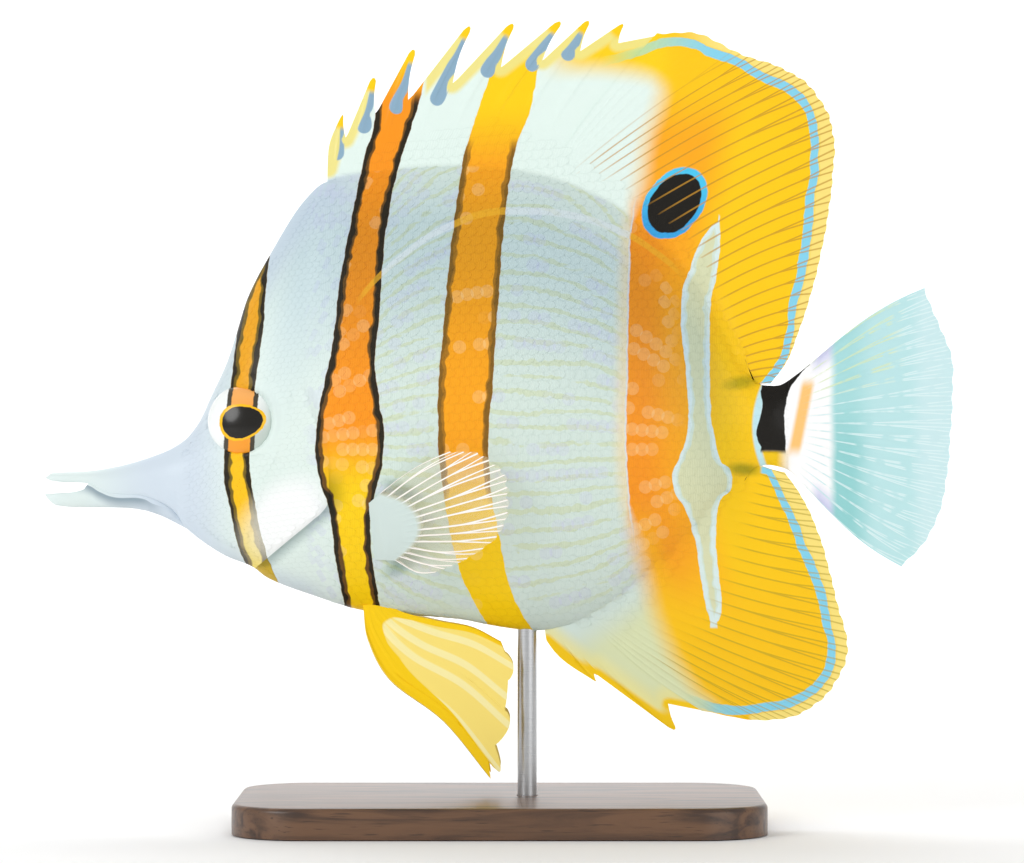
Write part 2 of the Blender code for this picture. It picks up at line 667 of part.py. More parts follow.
def stand(steel, walnut):
    """A flat base with round corners and one rod, sunk in the base and in the belly."""
    floor = -AXIS_HEIGHT
    rings = []
    insets = ((0, 0), (0, BASE_THICKNESS - BASE_BEVEL), (BASE_BEVEL, BASE_THICKNESS))
    for inset, height in insets:
        ring = []
        for corner, (sx, sy) in enumerate(((1, 1), (-1, 1), (-1, -1), (1, -1))):
            for step in range(CORNER_STEPS + 1):
                turn = math.pi / 2 * (corner + step / CORNER_STEPS)
                x = sx * (BASE_LENGTH / 2 - BASE_CORNER) + (BASE_CORNER - inset) * math.cos(turn)
                y = sy * (BASE_WIDTH / 2 - BASE_CORNER) + (BASE_CORNER - inset) * math.sin(turn)
                ring.append((x, y, floor + height))
        rings.append(ring)
    base = loft("stand_base", rings, walnut)
    base.data.set_sharp_from_angle(angle=math.radians(30))
    foot = floor + BASE_THICKNESS - ROD_IN_BASE
    hole = ROD_RADIUS + GAP
    cut(base, helper(upright_rod("base_hole", ROD_AT, hole, foot - GAP, foot + CUTTER_OVERRUN)))
    belly = underside(ROD_AT)
    head = belly + ROD_IN_BODY
    rod = upright_rod("stand_rod", ROD_AT, ROD_RADIUS, foot, head, steel)
    rod.data.set_sharp_from_angle(angle=math.radians(30))
    return helper(upright_rod("belly_hole", ROD_AT, hole, belly - CUTTER_OVERRUN, head + GAP))


def main():
    for obj in list(bpy.data.objects):
        bpy.data.objects.remove(obj)
    finish = {name: material(name) for name in MATERIALS}
    half_gap = GAP / 2
    skin = finish["pearl_skin"]

    upper_jaw = body_length("upper_jaw", SNOUT_TIP, JAW_CUT - half_gap, finish=skin)
    upper_jaw.data.set_sharp_from_angle(angle=math.radians(50))
    head = body_length("head", JAW_CUT + half_gap, NECK_CUT - half_gap, finish=skin)
    torso = body_length("torso", NECK_CUT + half_gap, TAIL_CUT - half_gap, finish=skin)
    body_length("tail_base", TAIL_CUT + half_gap, TAIL_ROOT, finish=finish["yellow_fin"])
    body_grown = helper(body_length("body_grown", NECK_CUT - CUTTER_OVERRUN, TAIL_CUT, grow=GAP))
    loft("lower_jaw", [jaw_ring(x) for x in stations(*JAW_STRETCHES)], skin)

    for side, word in ((-1, "left"), (1, "right")):
        eyeball("eye_" + word, side, 0, finish["eye"])
        cut(head, helper(eyeball("socket_" + word, side, GAP)))
        for i, (x, z, radius) in enumerate(NOSTRILS):
            cut(head, nostril_pit(f"nostril_{word}_{i}", side, x, z, radius))
        edges = (side, GILL_FRONT, GILL_REAR)
        side_patch("gill_cover_" + word, *edges, -GILL_INSIDE, GILL_RAISED, finish=skin)
        depth = -GILL_INSIDE - GAP
        pocket = helper(side_patch("gill_pocket_" + word, *edges, depth, POCKET_OUTSIDE, wider=GAP))
        cut(head, pocket)
        cut(torso, pocket)
        breast_fin("pectoral_fin_" + word, side, body_grown, finish["clear_fin"])
        belly_fin("pelvic_fin_" + word, side, body_grown, finish["yellow_fin"])

    upward, downward = (back, back_edge, 1), (underside, belly_edge, -1)
    copper, yellow = finish["copper_fin"], finish["yellow_fin"]
    spiny_fin("dorsal_fin_spiny", BACK_SPINES, BACK_FIN_FRONT, *upward, copper)
    soft_fin("dorsal_fin_soft", BACK_RAYS, BACK_RAY_COUNT, *upward, yellow)
    spiny_fin("anal_fin_spiny", ANAL_SPINES, ANAL_FIN_FRONT, *downward, yellow)
    soft_fin("anal_fin_soft", ANAL_RAYS, ANAL_RAY_COUNT, *downward, yellow)
    tail_fin(finish["aqua_fin"])
    cut(torso, stand(finish["steel"], finish["walnut"]))


main()
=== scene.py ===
"""A copperband butterflyfish as a painted, life-size museum model on a walnut base.

Shapes are worked out in millimetres about the fish's own axis, the level line through the eye
and the tail root, with the head towards -X and the back towards +Z. One skin covers the flesh,
overlapping scales lie on it, and each fin is a thin sheet with its rays raised on both faces.
Markings are painted by place, seen from the side, so skin, scales and fins carry the same ones,
and so are painted shade and highlights in some places.
"""

import math

import bpy
import numpy as np
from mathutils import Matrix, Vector


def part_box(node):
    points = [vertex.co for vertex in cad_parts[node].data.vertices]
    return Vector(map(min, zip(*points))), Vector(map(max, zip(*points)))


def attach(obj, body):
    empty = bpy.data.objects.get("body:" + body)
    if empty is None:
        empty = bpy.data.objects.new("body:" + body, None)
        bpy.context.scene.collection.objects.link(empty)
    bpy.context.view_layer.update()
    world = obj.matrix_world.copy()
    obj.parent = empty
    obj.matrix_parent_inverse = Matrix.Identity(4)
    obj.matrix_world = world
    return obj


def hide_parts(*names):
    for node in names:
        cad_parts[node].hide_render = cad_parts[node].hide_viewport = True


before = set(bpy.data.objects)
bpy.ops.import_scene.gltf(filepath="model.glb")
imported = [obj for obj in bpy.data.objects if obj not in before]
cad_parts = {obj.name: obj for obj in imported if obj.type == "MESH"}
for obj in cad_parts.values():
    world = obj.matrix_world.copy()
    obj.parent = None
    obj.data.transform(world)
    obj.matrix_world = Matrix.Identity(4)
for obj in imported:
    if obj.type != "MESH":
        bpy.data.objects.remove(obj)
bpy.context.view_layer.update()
bpy.ops.object.select_all(action="DESELECT")

MM = 0.001
EYE_HEIGHT = -0.4
AXIS_HEIGHT = sum(corner.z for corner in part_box("eye_left")) / 2 / MM - EYE_HEIGHT
TAIL_ROOT = 60.0
COAT = 0.18  # the skin lies this far inside the solids, and the scales fill it
SINK = 1.6  # how far a fin's root goes into the body
FIN_HALF = 0.17  # half the thickness of a fin's web beyond its fleshy base
FIN_BASE_REACH = 7.0  # how far up a fin its base stays fleshy

# Outlines of the body from the side, as (along, height) from the axis
BACK = (
    (-90, -11.5), (-88.6, -10.5), (-82, -10.2), (-76, -9.3), (-67, -6.6), (-62.5, -4.1),
    (-59.6, -0.6), (-57, 4.9), (-54, 11.4), (-52, 17.5), (-50, 23.9), (-45.7, 32.3),
    (-38.4, 43.7), (-34.5, 47.0), (-23, 49.2), (-9.5, 50.1), (4, 49.1), (19.3, 44.1),
    (31, 35.8), (38.6, 27.7), (44, 18.6), (48.2, 10.4), (51.4, 6.9), (54.5, 6.7), (60, 9.8),
)
UNDERSIDE = (
    (-90, -11.9), (-88.8, -12.4), (-86, -12.7), (-82.3, -12.8), (-80.8, -13.1), (-79, -14.1),
    (-76.5, -15.0),
    (-71, -15.4), (-66, -17.2), (-64, -18.9), (-62.3, -21.5), (-57.7, -25.2), (-53.8, -27.5),
    (-49, -29.4), (-46, -31.6), (-38.4, -34.6), (-26, -38.2), (-9.5, -39.6), (6.8, -42.0),
    (13.6, -40.8), (21, -37.2), (34.7, -25.6), (45.3, -14.2), (49.2, -10.6), (52.5, -9.2),
    (56, -9.8), (60, -12.4),
)
CHIN = (
    (-90, -15.2), (-89.2, -16.3), (-87.5, -17.3), (-84, -17.6), (-75, -17.7), (-71, -18.1),
    (-67.3, -19.2), (-63.4, -21.1), (-61, -22.4),
)
GAPE_FLOOR = ((-90, -14.9), (-87.5, -14.7), (-84.5, -14.5), (-82.5, -14.0), (-81, -13.3))
HALF_WIDTH = (
    (-90, 0.8), (-89, 1.6), (-87, 2.1), (-82, 2.4), (-76, 2.8), (-70, 3.4), (-65, 4.2),
    (-61, 5.4), (-57, 7.0), (-52, 8.7), (-46, 10.2), (-38, 11.8), (-28, 12.9), (-16, 13.4),
    (-4, 13.3), (8, 12.5), (20, 10.8), (30, 8.8), (38, 6.8), (45, 4.9), (50, 3.8), (55, 3.2),
    (60, 2.5),
)
JAW_HALF_WIDTH = (
    (-90, 0.9), (-89, 1.7), (-87, 2.2), (-76, 2.5), (-70, 2.7), (-66, 2.4), (-63.4, 1.5), (-61, 0.9),
)
WIDEST = (
    (-90, -11.7), (-82, -11.4), (-76, -12.4), (-66, -12.2), (-60, -10.5), (-55, -8.0),
    (-48, -5.5), (-38, -4.0), (0, -1.0), (20, 0.0), (45, 0.0), (60, -1.2),
)
BACK_EDGE = ((-90, 0.3), (-80, 0.5), (-60, 0.7), (-40, 1.0), (-34, 1.7), (0, 1.9), (45, 1.4), (60, 0.6))
BELLY_EDGE = (
    (-90, 0.5), (-86, 1.4), (-80, 1.9), (-72, 2.3), (-66, 2.3), (-62, 1.0), (-30, 1.2),
    (6, 1.3), (12, 1.7), (30, 1.7), (45, 1.4), (60, 0.6),
)
BACK_TAPER = ((-90, 1.0), (-65, 1.1), (-52, 1.35), (-38, 1.6), (-20, 1.7), (45, 1.6), (60, 1.2))
BELLY_TAPER = ((-90, 0.6), (-66, 0.7), (-60, 1.1), (4, 1.25), (12, 1.6), (45, 1.6), (60, 1.2))
SNOUT_TIP = -90.0
JAW_END = -61.2
JAW_LAP = 0.3  # how far the lower jaw is sunk into the snout behind the gape

# Head
EYE_CENTRE = (-50.6, 6.9, EYE_HEIGHT)
EYE_RADIUS = 7.0
EYE_DEPTH = 3.6
EYE_SHOWN = 6.3
EYE_YAW = math.radians(14)
EYE_PITCH = math.radians(6)
NOSTRILS = ((-60.6, -5.0, 0.6), (-62.0, -6.6, 0.5))
GILL_EDGE = (
    (-29.8, -48.7), (-28.2, -46.7), (-24.0, -41.6), (-19.8, -36.5), (-18.0, -34.5),
    (-16.2, -33.5), (-11.0, -33.4), (-3.0, -34.6), (6.6, -37.8),
)
CHEEK_EDGE = ((-27.0, -50.4), (-20.0, -48.2), (-12.0, -45.4), (-4.0, -42.4), (6.4, -40.2))

# Spines of the back fin: root along the body, tip, the notch behind it, and where the bare
# blue-grey end of the spine begins, as a share of its length
SPINE_TIP_HALF = 0.55
SPINE_HOLLOW = 0.05  # how far a spine's rear edge is hollowed, as a share of its free length
BACK_SPINES = (
    (-33.6, (-31.3, 60.4), (-30.5, 55.4), 0.47),
    (-29.5, (-24.9, 67.6), (-24.6, 60.2), 0.54),
    (-25.0, (-17.0, 73.2), (-18.2, 62.8), 0.56),
    (-19.5, (-5.9, 77.8), (-9.4, 66.2), 0.52),
    (-13.5, (2.6, 78.3), (0.2, 69.5), 0.69),
    (-7.5, (12.0, 78.7), (8.4, 70.9), 0.72),
    (-1.5, (17.6, 78.85), (15.9, 72.8), 0.79),
    (4.0, (24.4, 78.2), (23.4, 74.4), 1.0),
    (9.2, (33.2, 76.3), (33.2, 76.3), 1.0),
)
BACK_RAYS = (
    (8.4, (31.2, 76.5)), (9.7, (39.6, 76.4)), (11.2, (47.3, 72.6)), (14.0, (55.0, 70.1)),
    (18.6, (60.7, 66.8)), (24.4, (65.0, 61.0)), (30.2, (66.5, 54.9)), (34.7, (66.0, 47.5)),
    (38.4, (65.1, 39.8)), (41.6, (63.6, 32.1)), (44.2, (61.6, 24.4)), (46.4, (59.2, 17.1)),
    (48.2, (56.9, 11.4)), (50.2, (53.6, 7.0)),
)
BACK_RAY_COUNT = 33
ANAL_SPINES = (
    (10.2, (19.0, -52.1), (18.6, -50.2), 1.0),
    (13.0, (34.7, -61.6), (33.3, -56.4), 1.0),
    (17.0, (42.4, -58.2), (42.4, -58.2), 1.0),
)
ANAL_RAYS = (
    (16.5, (40.1, -57.9)), (17.4, (50.1, -59.7)), (19.0, (57.8, -59.1)), (21.2, (63.6, -56.0)),
    (24.0, (67.5, -51.0)), (27.4, (69.1, -44.9)), (31.3, (67.5, -38.1)), (35.6, (65.9, -31.8)),
    (39.6, (64.2, -25.6)), (43.2, (62.1, -19.8)), (46.8, (59.6, -15.0)), (50.6, (56.4, -10.6)),
)
ANAL_RAY_COUNT = 25
FIN_RAY_BOW = 1.0
FULL_BOW_LENGTH = 30.0  # shorter rays are bowed less
TAIL_TIPS = (
    (84.2, 26.0), (87.0, 19.0), (89.6, 12.5), (89.9, 4.5), (89.5, -3.0), (88.9, -9.5),
    (87.7, -16.9), (84.8, -23.8), (79.6, -29.3),
)
TAIL_RAY_COUNT = 17
BREAST_ROOTS = ((-26.5, -17.6), (-25.6, -22.4), (-25.2, -27.2))
BREAST_RAY_STARTS = (
    (-23.4, -14.6), (-20.1, -16.2), (-18.2, -18.2), (-17.1, -20.6), (-17.2, -23.2),
    (-18.6, -25.6), (-20.3, -27.6),
)
BREAST_TIPS = (
    (-9.6, -6.2), (-3.6, -6.6), (1.2, -10.6), (2.3, -16.2), (0.7, -21.9), (-5.7, -27.0),
    (-13.0, -30.2),
)
BREAST_RAY_COUNT = 14
BREAST_FLARE = math.radians(24)
BELLY_FIN_FRONT = ((-27.0, -37.0), (-26.0, -43.5), (-21.5, -51.5), (-11.0, -59.5), (-1.8, -70.6))
BELLY_FIN_REAR = ((-23.4, -36.2), (-18.8, -38.4), (-12.0, -40.0), (-5.5, -41.3), (0.2, -44.2))
BELLY_FIN_TIPS = ((-1.8, -70.6), (0.1, -69.2), (1.9, -60.4), (1.4, -54.8), (2.7, -48.9), (0.2, -44.2))
BELLY_FIN_NOTCHES = ((-2.4, -66.4), (-1.0, -64.2), (0.9, -57.6), (1.6, -51.6), (1.0, -46.2))
BELLY_FIN_ROOT_SIDE = 2.6
BELLY_FIN_SPLAY = math.tan(math.radians(9))

# Stand
ROD_AT = 5.4
ROD_RADIUS = 1.9
BASE_CORNER = 14.0
BASE_BEVEL = 1.0


def smooth(value, low, high):
    """A rise from 0 at low to 1 at high, with no corners."""
    t = np.clip((value - low) / (high - low), 0, 1)
    return t * t * (3 - 2 * t)


def graph(knots):
    """A smooth curve through (along, value) knots that never swings past them."""
    xs, ys = np.array(knots, float).T
    rise = np.diff(ys) / np.diff(xs)
    turning = rise[:-1] * rise[1:] <= 0
    inner = 2 * rise[:-1] * rise[1:] / np.where(turning, 1, rise[:-1] + rise[1:])
    slopes = np.concatenate([rise[:1], np.where(turning, 0, inner), rise[-1:]])

    def at(x):
        x = np.clip(x, xs[0], xs[-1])
        i = np.clip(np.searchsorted(xs, x, side="right") - 1, 0, len(xs) - 2)
        width = xs[i + 1] - xs[i]
        t = (x - xs[i]) / width
        return (
            ys[i] * (1 + 2 * t) * (1 - t) ** 2
            + width * slopes[i] * t * (1 - t) ** 2
            + ys[i + 1] * t * t * (3 - 2 * t)
            - width * slopes[i + 1] * t * t * (1 - t)
        )

    return at


def through(keys, share):
    """Points at shares (0 to 1) of the smooth curve through evenly spaced keys."""
    keys = np.array(keys, float)
    keys = np.vstack([2 * keys[0] - keys[1], keys, 2 * keys[-1] - keys[-2]])
    place = np.clip(share, 0, 1) * (len(keys) - 3)
    i = np.minimum(place.astype(int), len(keys) - 4)
    t = (place - i)[:, None]
    a, b, c, d = keys[i], keys[i + 1], keys[i + 2], keys[i + 3]
    return 0.5 * (2 * b + (c - a) * t + (2 * a - 5 * b + 4 * c - d) * t**2 + (3 * b - a - 3 * c + d) * t**3)


back = graph(BACK)
underside = graph(UNDERSIDE)
chin = graph(CHIN)
gape_floor = graph(GAPE_FLOOR)
half_width = graph(HALF_WIDTH)
jaw_half_width = graph(JAW_HALF_WIDTH)
widest = graph(WIDEST)
back_edge = graph(BACK_EDGE)
belly_edge = graph(BELLY_EDGE)
back_taper = graph(BACK_TAPER)
belly_taper = graph(BELLY_TAPER)
gill_edge = graph(GILL_EDGE)
cheek_edge = graph(CHEEK_EDGE)


# Materials


def linear(code):
    """A linear colour from an sRGB hex code."""
    parts = [int(code[i : i + 2], 16) / 255 for i in (0, 2, 4)]
    return (*(c / 12.92 if c <= 0.04045 else ((c + 0.055) / 1.055) ** 2.4 for c in parts), 1.0)


def node(tree, kind, inputs=(), **settings):
    """Adds a shader node with its settings, and sets or links its inputs by place or by name."""
    made = tree.nodes.new("ShaderNode" + kind)
    for key, value in settings.items():
        setattr(made, key, value)
    sockets = [s for s in made.inputs if s.enabled]
    for key, value in inputs.items() if isinstance(inputs, dict) else enumerate(inputs):
        if value is None:
            continue
        socket = sockets[key] if isinstance(key, int) else next(s for s in sockets if s.name == key)
        if isinstance(value, bpy.types.Node):
            value = next(s for s in value.outputs if s.enabled)
        if isinstance(value, bpy.types.NodeSocket):
            tree.links.new(value, socket)
        else:
            socket.default_value = value
    return made


def finish_named(name, **fixed):
    """A new material with its shader's fixed values, and its node tree and shader."""
    made = bpy.data.materials.new(name)
    made.use_nodes = True
    shader = made.node_tree.nodes["Principled BSDF"]
    for key, value in fixed.items():
        shader.inputs[key.replace("_", " ")].default_value = value
    return made, made.node_tree, shader


# The picture's frame: pixels of the picture to millimetres about the fish's axis
PIXEL = 0.19251
PIXEL_ACROSS = 499.5
PIXEL_DOWN = 455.2


def mm(points):
    return [((u - PIXEL_ACROSS) * PIXEL, (PIXEL_DOWN - v) * PIXEL) for u, v in points]


# Edges of the markings, front and rear, read from the picture in its pixels from the top down
BAND_1 = (
    ((257, 289), (249, 306), (240, 325), (233, 350), (229, 375), (227, 400), (225, 425),
     (219, 490), (219, 515), (223, 540), (228, 565), (234, 590), (239, 605), (244, 625)),
    ((263, 290), (261, 310), (258, 360), (255, 385), (250, 425), (245, 490), (246, 515),
     (250, 540), (254, 565), (260, 590), (273, 626)),
)
BAND_2 = (
    ((373, 70), (373, 120), (370, 155), (362, 180), (352, 230), (343, 280), (337, 315), (330, 380),
     (325, 405), (316, 450), (313, 485), (318, 520), (326, 545), (333, 600), (341, 650)),
    ((430, 70), (420, 115), (410, 150), (395, 200), (385, 250), (380, 300), (377, 350),
     (373, 400), (378, 440), (382, 475), (380, 500), (373, 530), (368, 570), (374, 630), (377, 650)),
)
BAND_3 = (
    ((497, 78), (490, 100), (473, 150), (461, 195), (455, 240), (446, 320), (441, 380), (437, 430),
     (437, 480), (440, 510), (450, 575), (457, 605), (467, 630), (480, 655), (496, 678)),
    ((545, 78), (540, 92), (530, 140), (515, 180), (505, 245), (500, 305), (492, 420), (488, 480),
     (490, 520), (499, 575), (508, 620), (517, 645), (536, 675), (548, 690)),
)
BAND_4_FRONT = (
    (672, 90), (660, 140), (650, 170), (645, 205), (634, 255), (631, 300), (628, 420),
    (627, 480), (630, 530), (637, 580), (650, 625), (660, 660), (690, 720), (715, 745),
)
WEDGE = (
    ((724, 252), (712, 264), (695, 300), (685, 345), (689, 400), (692, 455), (683, 495),
     (676, 515), (678, 528), (690, 548), (702, 590), (709, 635), (716, 664)),
    ((725, 252), (726, 270), (723, 300), (714, 360), (714, 430), (720, 480), (727, 500),
     (738, 521), (728, 535), (722, 560), (722, 590), (725, 620), (727, 648), (723, 664)),
)
BAR = (
    ((812, 400), (768, 424), (769, 440), (766, 455), (763, 472), (767, 484)),
    ((818, 400), (804, 414), (797, 426), (793, 440), (791, 460), (793, 484)),
)
# A painted highlight on the gill cover
GILL_SHINE = (281, 559)  # the centre of the light on the gill cover's lower corner
GILL_SHINE_SIZE = (12.0, 8.5)
GILL_SHINE_TURN = math.radians(41)
LATERAL_LINE = (
    (355, 335), (400, 290), (450, 258), (500, 243), (560, 245), (620, 262), (660, 285), (690, 312),
)
BACK_BLUE = (
    (605, 88), (640, 78), (670, 68), (700, 70), (715, 78), (750, 91), (765, 101), (800, 118),
    (812, 130), (820, 148), (823, 165), (823, 200), (816, 260), (807, 315), (797, 370),
    (790, 395), (772, 420),
)
BACK_BLUE_CENTRE = (690, 250)
ANAL_BLUE = (
    (776, 508), (795, 548), (805, 570), (815, 597), (833, 650), (841, 690), (838, 710),
    (830, 725), (815, 738), (795, 748), (770, 752), (745, 755), (720, 752), (700, 745),
)
ANAL_BLUE_CENTRE = (735, 640)
BACK_YELLOW = ((560, 100), (590, 98), (620, 100), (645, 104), (665, 112), (680, 125))
EYESPOT_CENTRE = (679, 233.5)
EYESPOT_SIZE = (41, 28.5)
EYESPOT_TURN = math.radians(53)

# Painted soft shade, round the breast fin's fleshy base and in the folds where the soft fins
# leave the tail's root: centre, half sizes in millimetres, tilt in degrees, and tint
SHADE_SPOTS = (
    ((401, 528), (6.0, 2.2), -25, "C3CECA"),
    ((402, 602), (6.5, 2.6), 32, "C3CECA"),
    ((747, 418), (5.5, 2.0), 10, "C6D6C0"),
    ((750, 507), (5.0, 1.9), -5, "B4C8B4"),
)

LINE_CENTRE = -6.0
LINE_SPACING = 3.4
DOT_SPACING = 1.95
DOT_RADIUS = 1.35
DOT_ROWS = 5.2
MOUTH_LINE = ((72, 522), (78, 524), (90, 531), (105, 536), (131, 537), (145, 543), (160, 547))


def curve_value(tree, along, knots):
    """The value of a smooth curve through (along, value) knots at a place along it."""
    knots = sorted(knots)
    (a0, a1), (v0, v1) = ((min(column), max(column)) for column in zip(*knots))
    share = node(tree, "MapRange", {"Value": along, "From Min": a0, "From Max": a1})
    curve = node(tree, "FloatCurve", {"Value": share})
    line = curve.mapping.curves[0]
    while len(line.points) < len(knots):
        line.points.new(0.5, 0.5)
    for point, (a, v) in zip(line.points, knots):
        point.location = ((a - a0) / (a1 - a0), (v - v0) / (v1 - v0))
    curve.mapping.update()
    return node(tree, "MapRange", {"Value": curve, "To Min": v0, "To Max": v1})


def edge_at(tree, height, pixels):
    return curve_value(tree, height, [(z, x) for x, z in mm(pixels)])


def rise(tree, value, low, high):
    """A mask that rises smoothly from 0 at low to 1 at high, or falls where high is the less."""
    ends = {"From Min": min(low, high), "From Max": max(low, high)}
    if high < low:
        ends |= {"To Min": 1.0, "To Max": 0.0}
    return node(tree, "MapRange", {"Value": value, **ends}, interpolation_type="SMOOTHSTEP")


def both(tree, *masks):
    made = masks[0]
    for mask in masks[1:]:
        made = node(tree, "Math", (made, mask), operation="MULTIPLY")
    return made


def less(tree, a, b):
    return node(tree, "Math", (a, b), operation="SUBTRACT")


def over(tree, under, colour, mask, blend="MIX"):
    """Lays a colour, given as a hex code or a socket, over another where the mask says."""
    colour = linear(colour) if isinstance(colour, str) else colour
    under = linear(under) if isinstance(under, str) else under
    return node(
        tree, "Mix", {"Factor": mask, "A": under, "B": colour}, data_type="RGBA", blend_type=blend
    )


def blue_line(tree, spot, pixels, centre):
    """How far a spot lies outside a fin's blue line, in millimetres."""
    cx, cz = mm([centre])[0]
    offset = node(tree, "VectorMath", (spot, (cx, 0, cz)), operation="SUBTRACT")
    parts = node(tree, "SeparateXYZ", (offset,))
    angle = node(tree, "Math", (parts.outputs["Z"], parts.outputs["X"]), operation="ARCTAN2")
    flat = node(tree, "CombineXYZ", {"X": parts.outputs["X"], "Z": parts.outputs["Z"]})
    length = node(tree, "VectorMath", (flat,), operation="LENGTH").outputs["Value"]
    knots = [(math.atan2(z - cz, x - cx), math.hypot(x - cx, z - cz)) for x, z in mm(pixels)]
    return less(tree, length, curve_value(tree, angle, knots))


def spot_in_mm(tree, wobble=0.0, grain=2.4):
    """The place on the fish in millimetres about its axis, shifted a little where asked."""
    place = node(tree, "TexCoord").outputs["Object"]
    spot = node(
        tree, "Mapping", {"Vector": place, "Location": (0, 0, -AXIS_HEIGHT), "Scale": (1 / MM,) * 3}
    )
    if not wobble:
        return spot
    noise = node(tree, "TexNoise", {"Vector": spot, "Scale": 1 / grain, "Detail": 2.0})
    shift = node(tree, "VectorMath", (noise.outputs["Color"], (0.5, 0.5, 0.5)), operation="SUBTRACT")
    shift = node(tree, "VectorMath", {0: shift, "Scale": 2 * wobble}, operation="SCALE")
    return node(tree, "VectorMath", (spot, shift), operation="ADD")


def arches(tree, x):
    """How far the flank's arches are spread apart at x: they close in on head and tail."""
    off = node(tree, "Math", (x, 1 / 32, -2 / 32), operation="MULTIPLY_ADD")
    off = node(tree, "Math", (off, off), operation="MULTIPLY")
    return node(tree, "Math", (off, -0.42, 1.0), operation="MULTIPLY_ADD")


def flank_pattern(tree, spot):
    """The flank's wavy olive lines, and the rows of pale dots between them, as two masks."""
    parts = node(tree, "SeparateXYZ", (spot,))
    x, z = parts.outputs["X"], parts.outputs["Z"]
    level = node(tree, "Math", (less(tree, z, LINE_CENTRE), arches(tree, x)), operation="DIVIDE")

    long_waves = node(tree, "Mapping", {"Vector": spot, "Scale": (0.3, 1, 1)})
    wander = node(tree, "TexNoise", {"Vector": long_waves, "Scale": 0.15, "Detail": 1.0})
    ripple = node(tree, "TexNoise", {"Vector": spot, "Scale": 0.5, "Detail": 2.0})
    waves = node(tree, "Math", (wander, 4.0, level), operation="MULTIPLY_ADD")
    waves = node(tree, "Math", (ripple, 1.1, waves), operation="MULTIPLY_ADD")
    from_line = node(tree, "Math", (waves, LINE_SPACING / 2), operation="PINGPONG")
    rough = node(tree, "TexNoise", {"Vector": spot, "Scale": 0.8, "Detail": 1.0})
    width = node(tree, "Math", (rough, 1.0, 0.0), operation="MULTIPLY_ADD")
    whole = node(tree, "TexNoise", {"Vector": long_waves, "Scale": 0.35})
    lines = both(
        tree, rise(tree, less(tree, width, from_line), -0.1, 0.1), rise(tree, whole, 0.36, 0.44),
        rise(tree, x, -28, -22), rise(tree, x, 29, 24), rise(tree, z, -40, -32),
    )

    row = node(tree, "Math", (level, 1 / DOT_ROWS), operation="MULTIPLY")
    row = node(tree, "Math", (row,), operation="ROUND")
    row_level = node(tree, "Math", (row, DOT_ROWS), operation="MULTIPLY")
    shift = node(tree, "TexWhiteNoise", {"W": row}, noise_dimensions="1D").outputs["Value"]
    along = node(tree, "Math", (shift, 9.0, x), operation="MULTIPLY_ADD")
    dots = None
    for start in (0.0, DOT_SPACING):
        here = less(tree, along, start)
        centre = node(tree, "Math", (here, DOT_SPACING), operation="ADD")
        centre = node(tree, "Math", (centre, 2 * DOT_SPACING), operation="SNAP")
        aside = less(tree, here, centre)
        lift = both(tree, row_level, arches(tree, less(tree, x, aside)))
        rise_off = less(tree, less(tree, z, LINE_CENTRE), lift)
        away = node(tree, "CombineXYZ", {"X": aside, "Z": rise_off})
        away = node(tree, "VectorMath", (away,), operation="LENGTH").outputs["Value"]
        place = node(tree, "CombineXYZ", {"X": centre, "Y": start, "Z": row_level})
        group = node(tree, "TexNoise", {"Vector": place, "Scale": 0.11, "Detail": 1.0})
        dot = both(tree, rise(tree, away, DOT_RADIUS, DOT_RADIUS - 0.12), rise(tree, group, 0.5, 0.53))
        dots = node(tree, "Math", (dots, dot), operation="ADD") if dots else dot
    dots = both(tree, dots, rise(tree, x, -39, -36), rise(tree, x, 37, 32), rise(tree, z, -40, -36))
    return lines, dots


def striped(tree, under, spot, edges, fill, rim=None, rim_width=1.6, rim_heights=None):
    """A band between two edge curves, with a dark beaded rim inside each edge where one is
    named; the colour with the band laid over it, and the band's mask."""
    parts = node(tree, "SeparateXYZ", (spot,))
    x, z = parts.outputs["X"], parts.outputs["Z"]
    front = less(tree, x, edge_at(tree, z, edges[0]))
    rear = less(tree, edge_at(tree, z, edges[1]), x)
    depth = node(tree, "Math", (front, rear), operation="MINIMUM")
    low, high = (pick(PIXEL * (PIXEL_DOWN - v) for _, v in edges[0]) for pick in (min, max))
    inside = both(
        tree, rise(tree, depth, -0.1, 0.1), rise(tree, z, low - 1.5, low - 0.5),
        rise(tree, z, high + 1.5, high + 0.5),
    )
    made = over(tree, under, fill, inside)
    if rim:
        dark, soft = rim
        beads = node(tree, "TexVoronoi", {"Vector": spot, "Scale": 1 / 2.3}, feature="SMOOTH_F1")
        reach = node(tree, "MapRange", {"Value": beads, "From Max": 0.7, "To Min": -0.4, "To Max": 0.35})
        inner = node(tree, "Math", (depth, reach), operation="ADD")
        shadow = both(tree, inside, rise(tree, inner, rim_width + 0.3, rim_width))
        patches = node(tree, "TexNoise", {"Vector": spot, "Scale": 1 / 9})
        thin = node(tree, "MapRange", {"Value": patches, "From Min": 0.4, "From Max": 0.6, "To Max": 0.4})
        thinned = node(tree, "Math", (inner, thin), operation="ADD")
        line = both(tree, inside, rise(tree, thinned, rim_width, rim_width - 0.3))
        if rim_heights:
            low, high = (PIXEL * (PIXEL_DOWN - v) for v in rim_heights)
            shown = both(tree, rise(tree, z, low - 3, low + 3), rise(tree, z, high + 2, high - 2))
            shadow, line = both(tree, shadow, shown), both(tree, line, shown)
        made = over(tree, over(tree, made, soft, shadow), dark, line)
    return made, inside


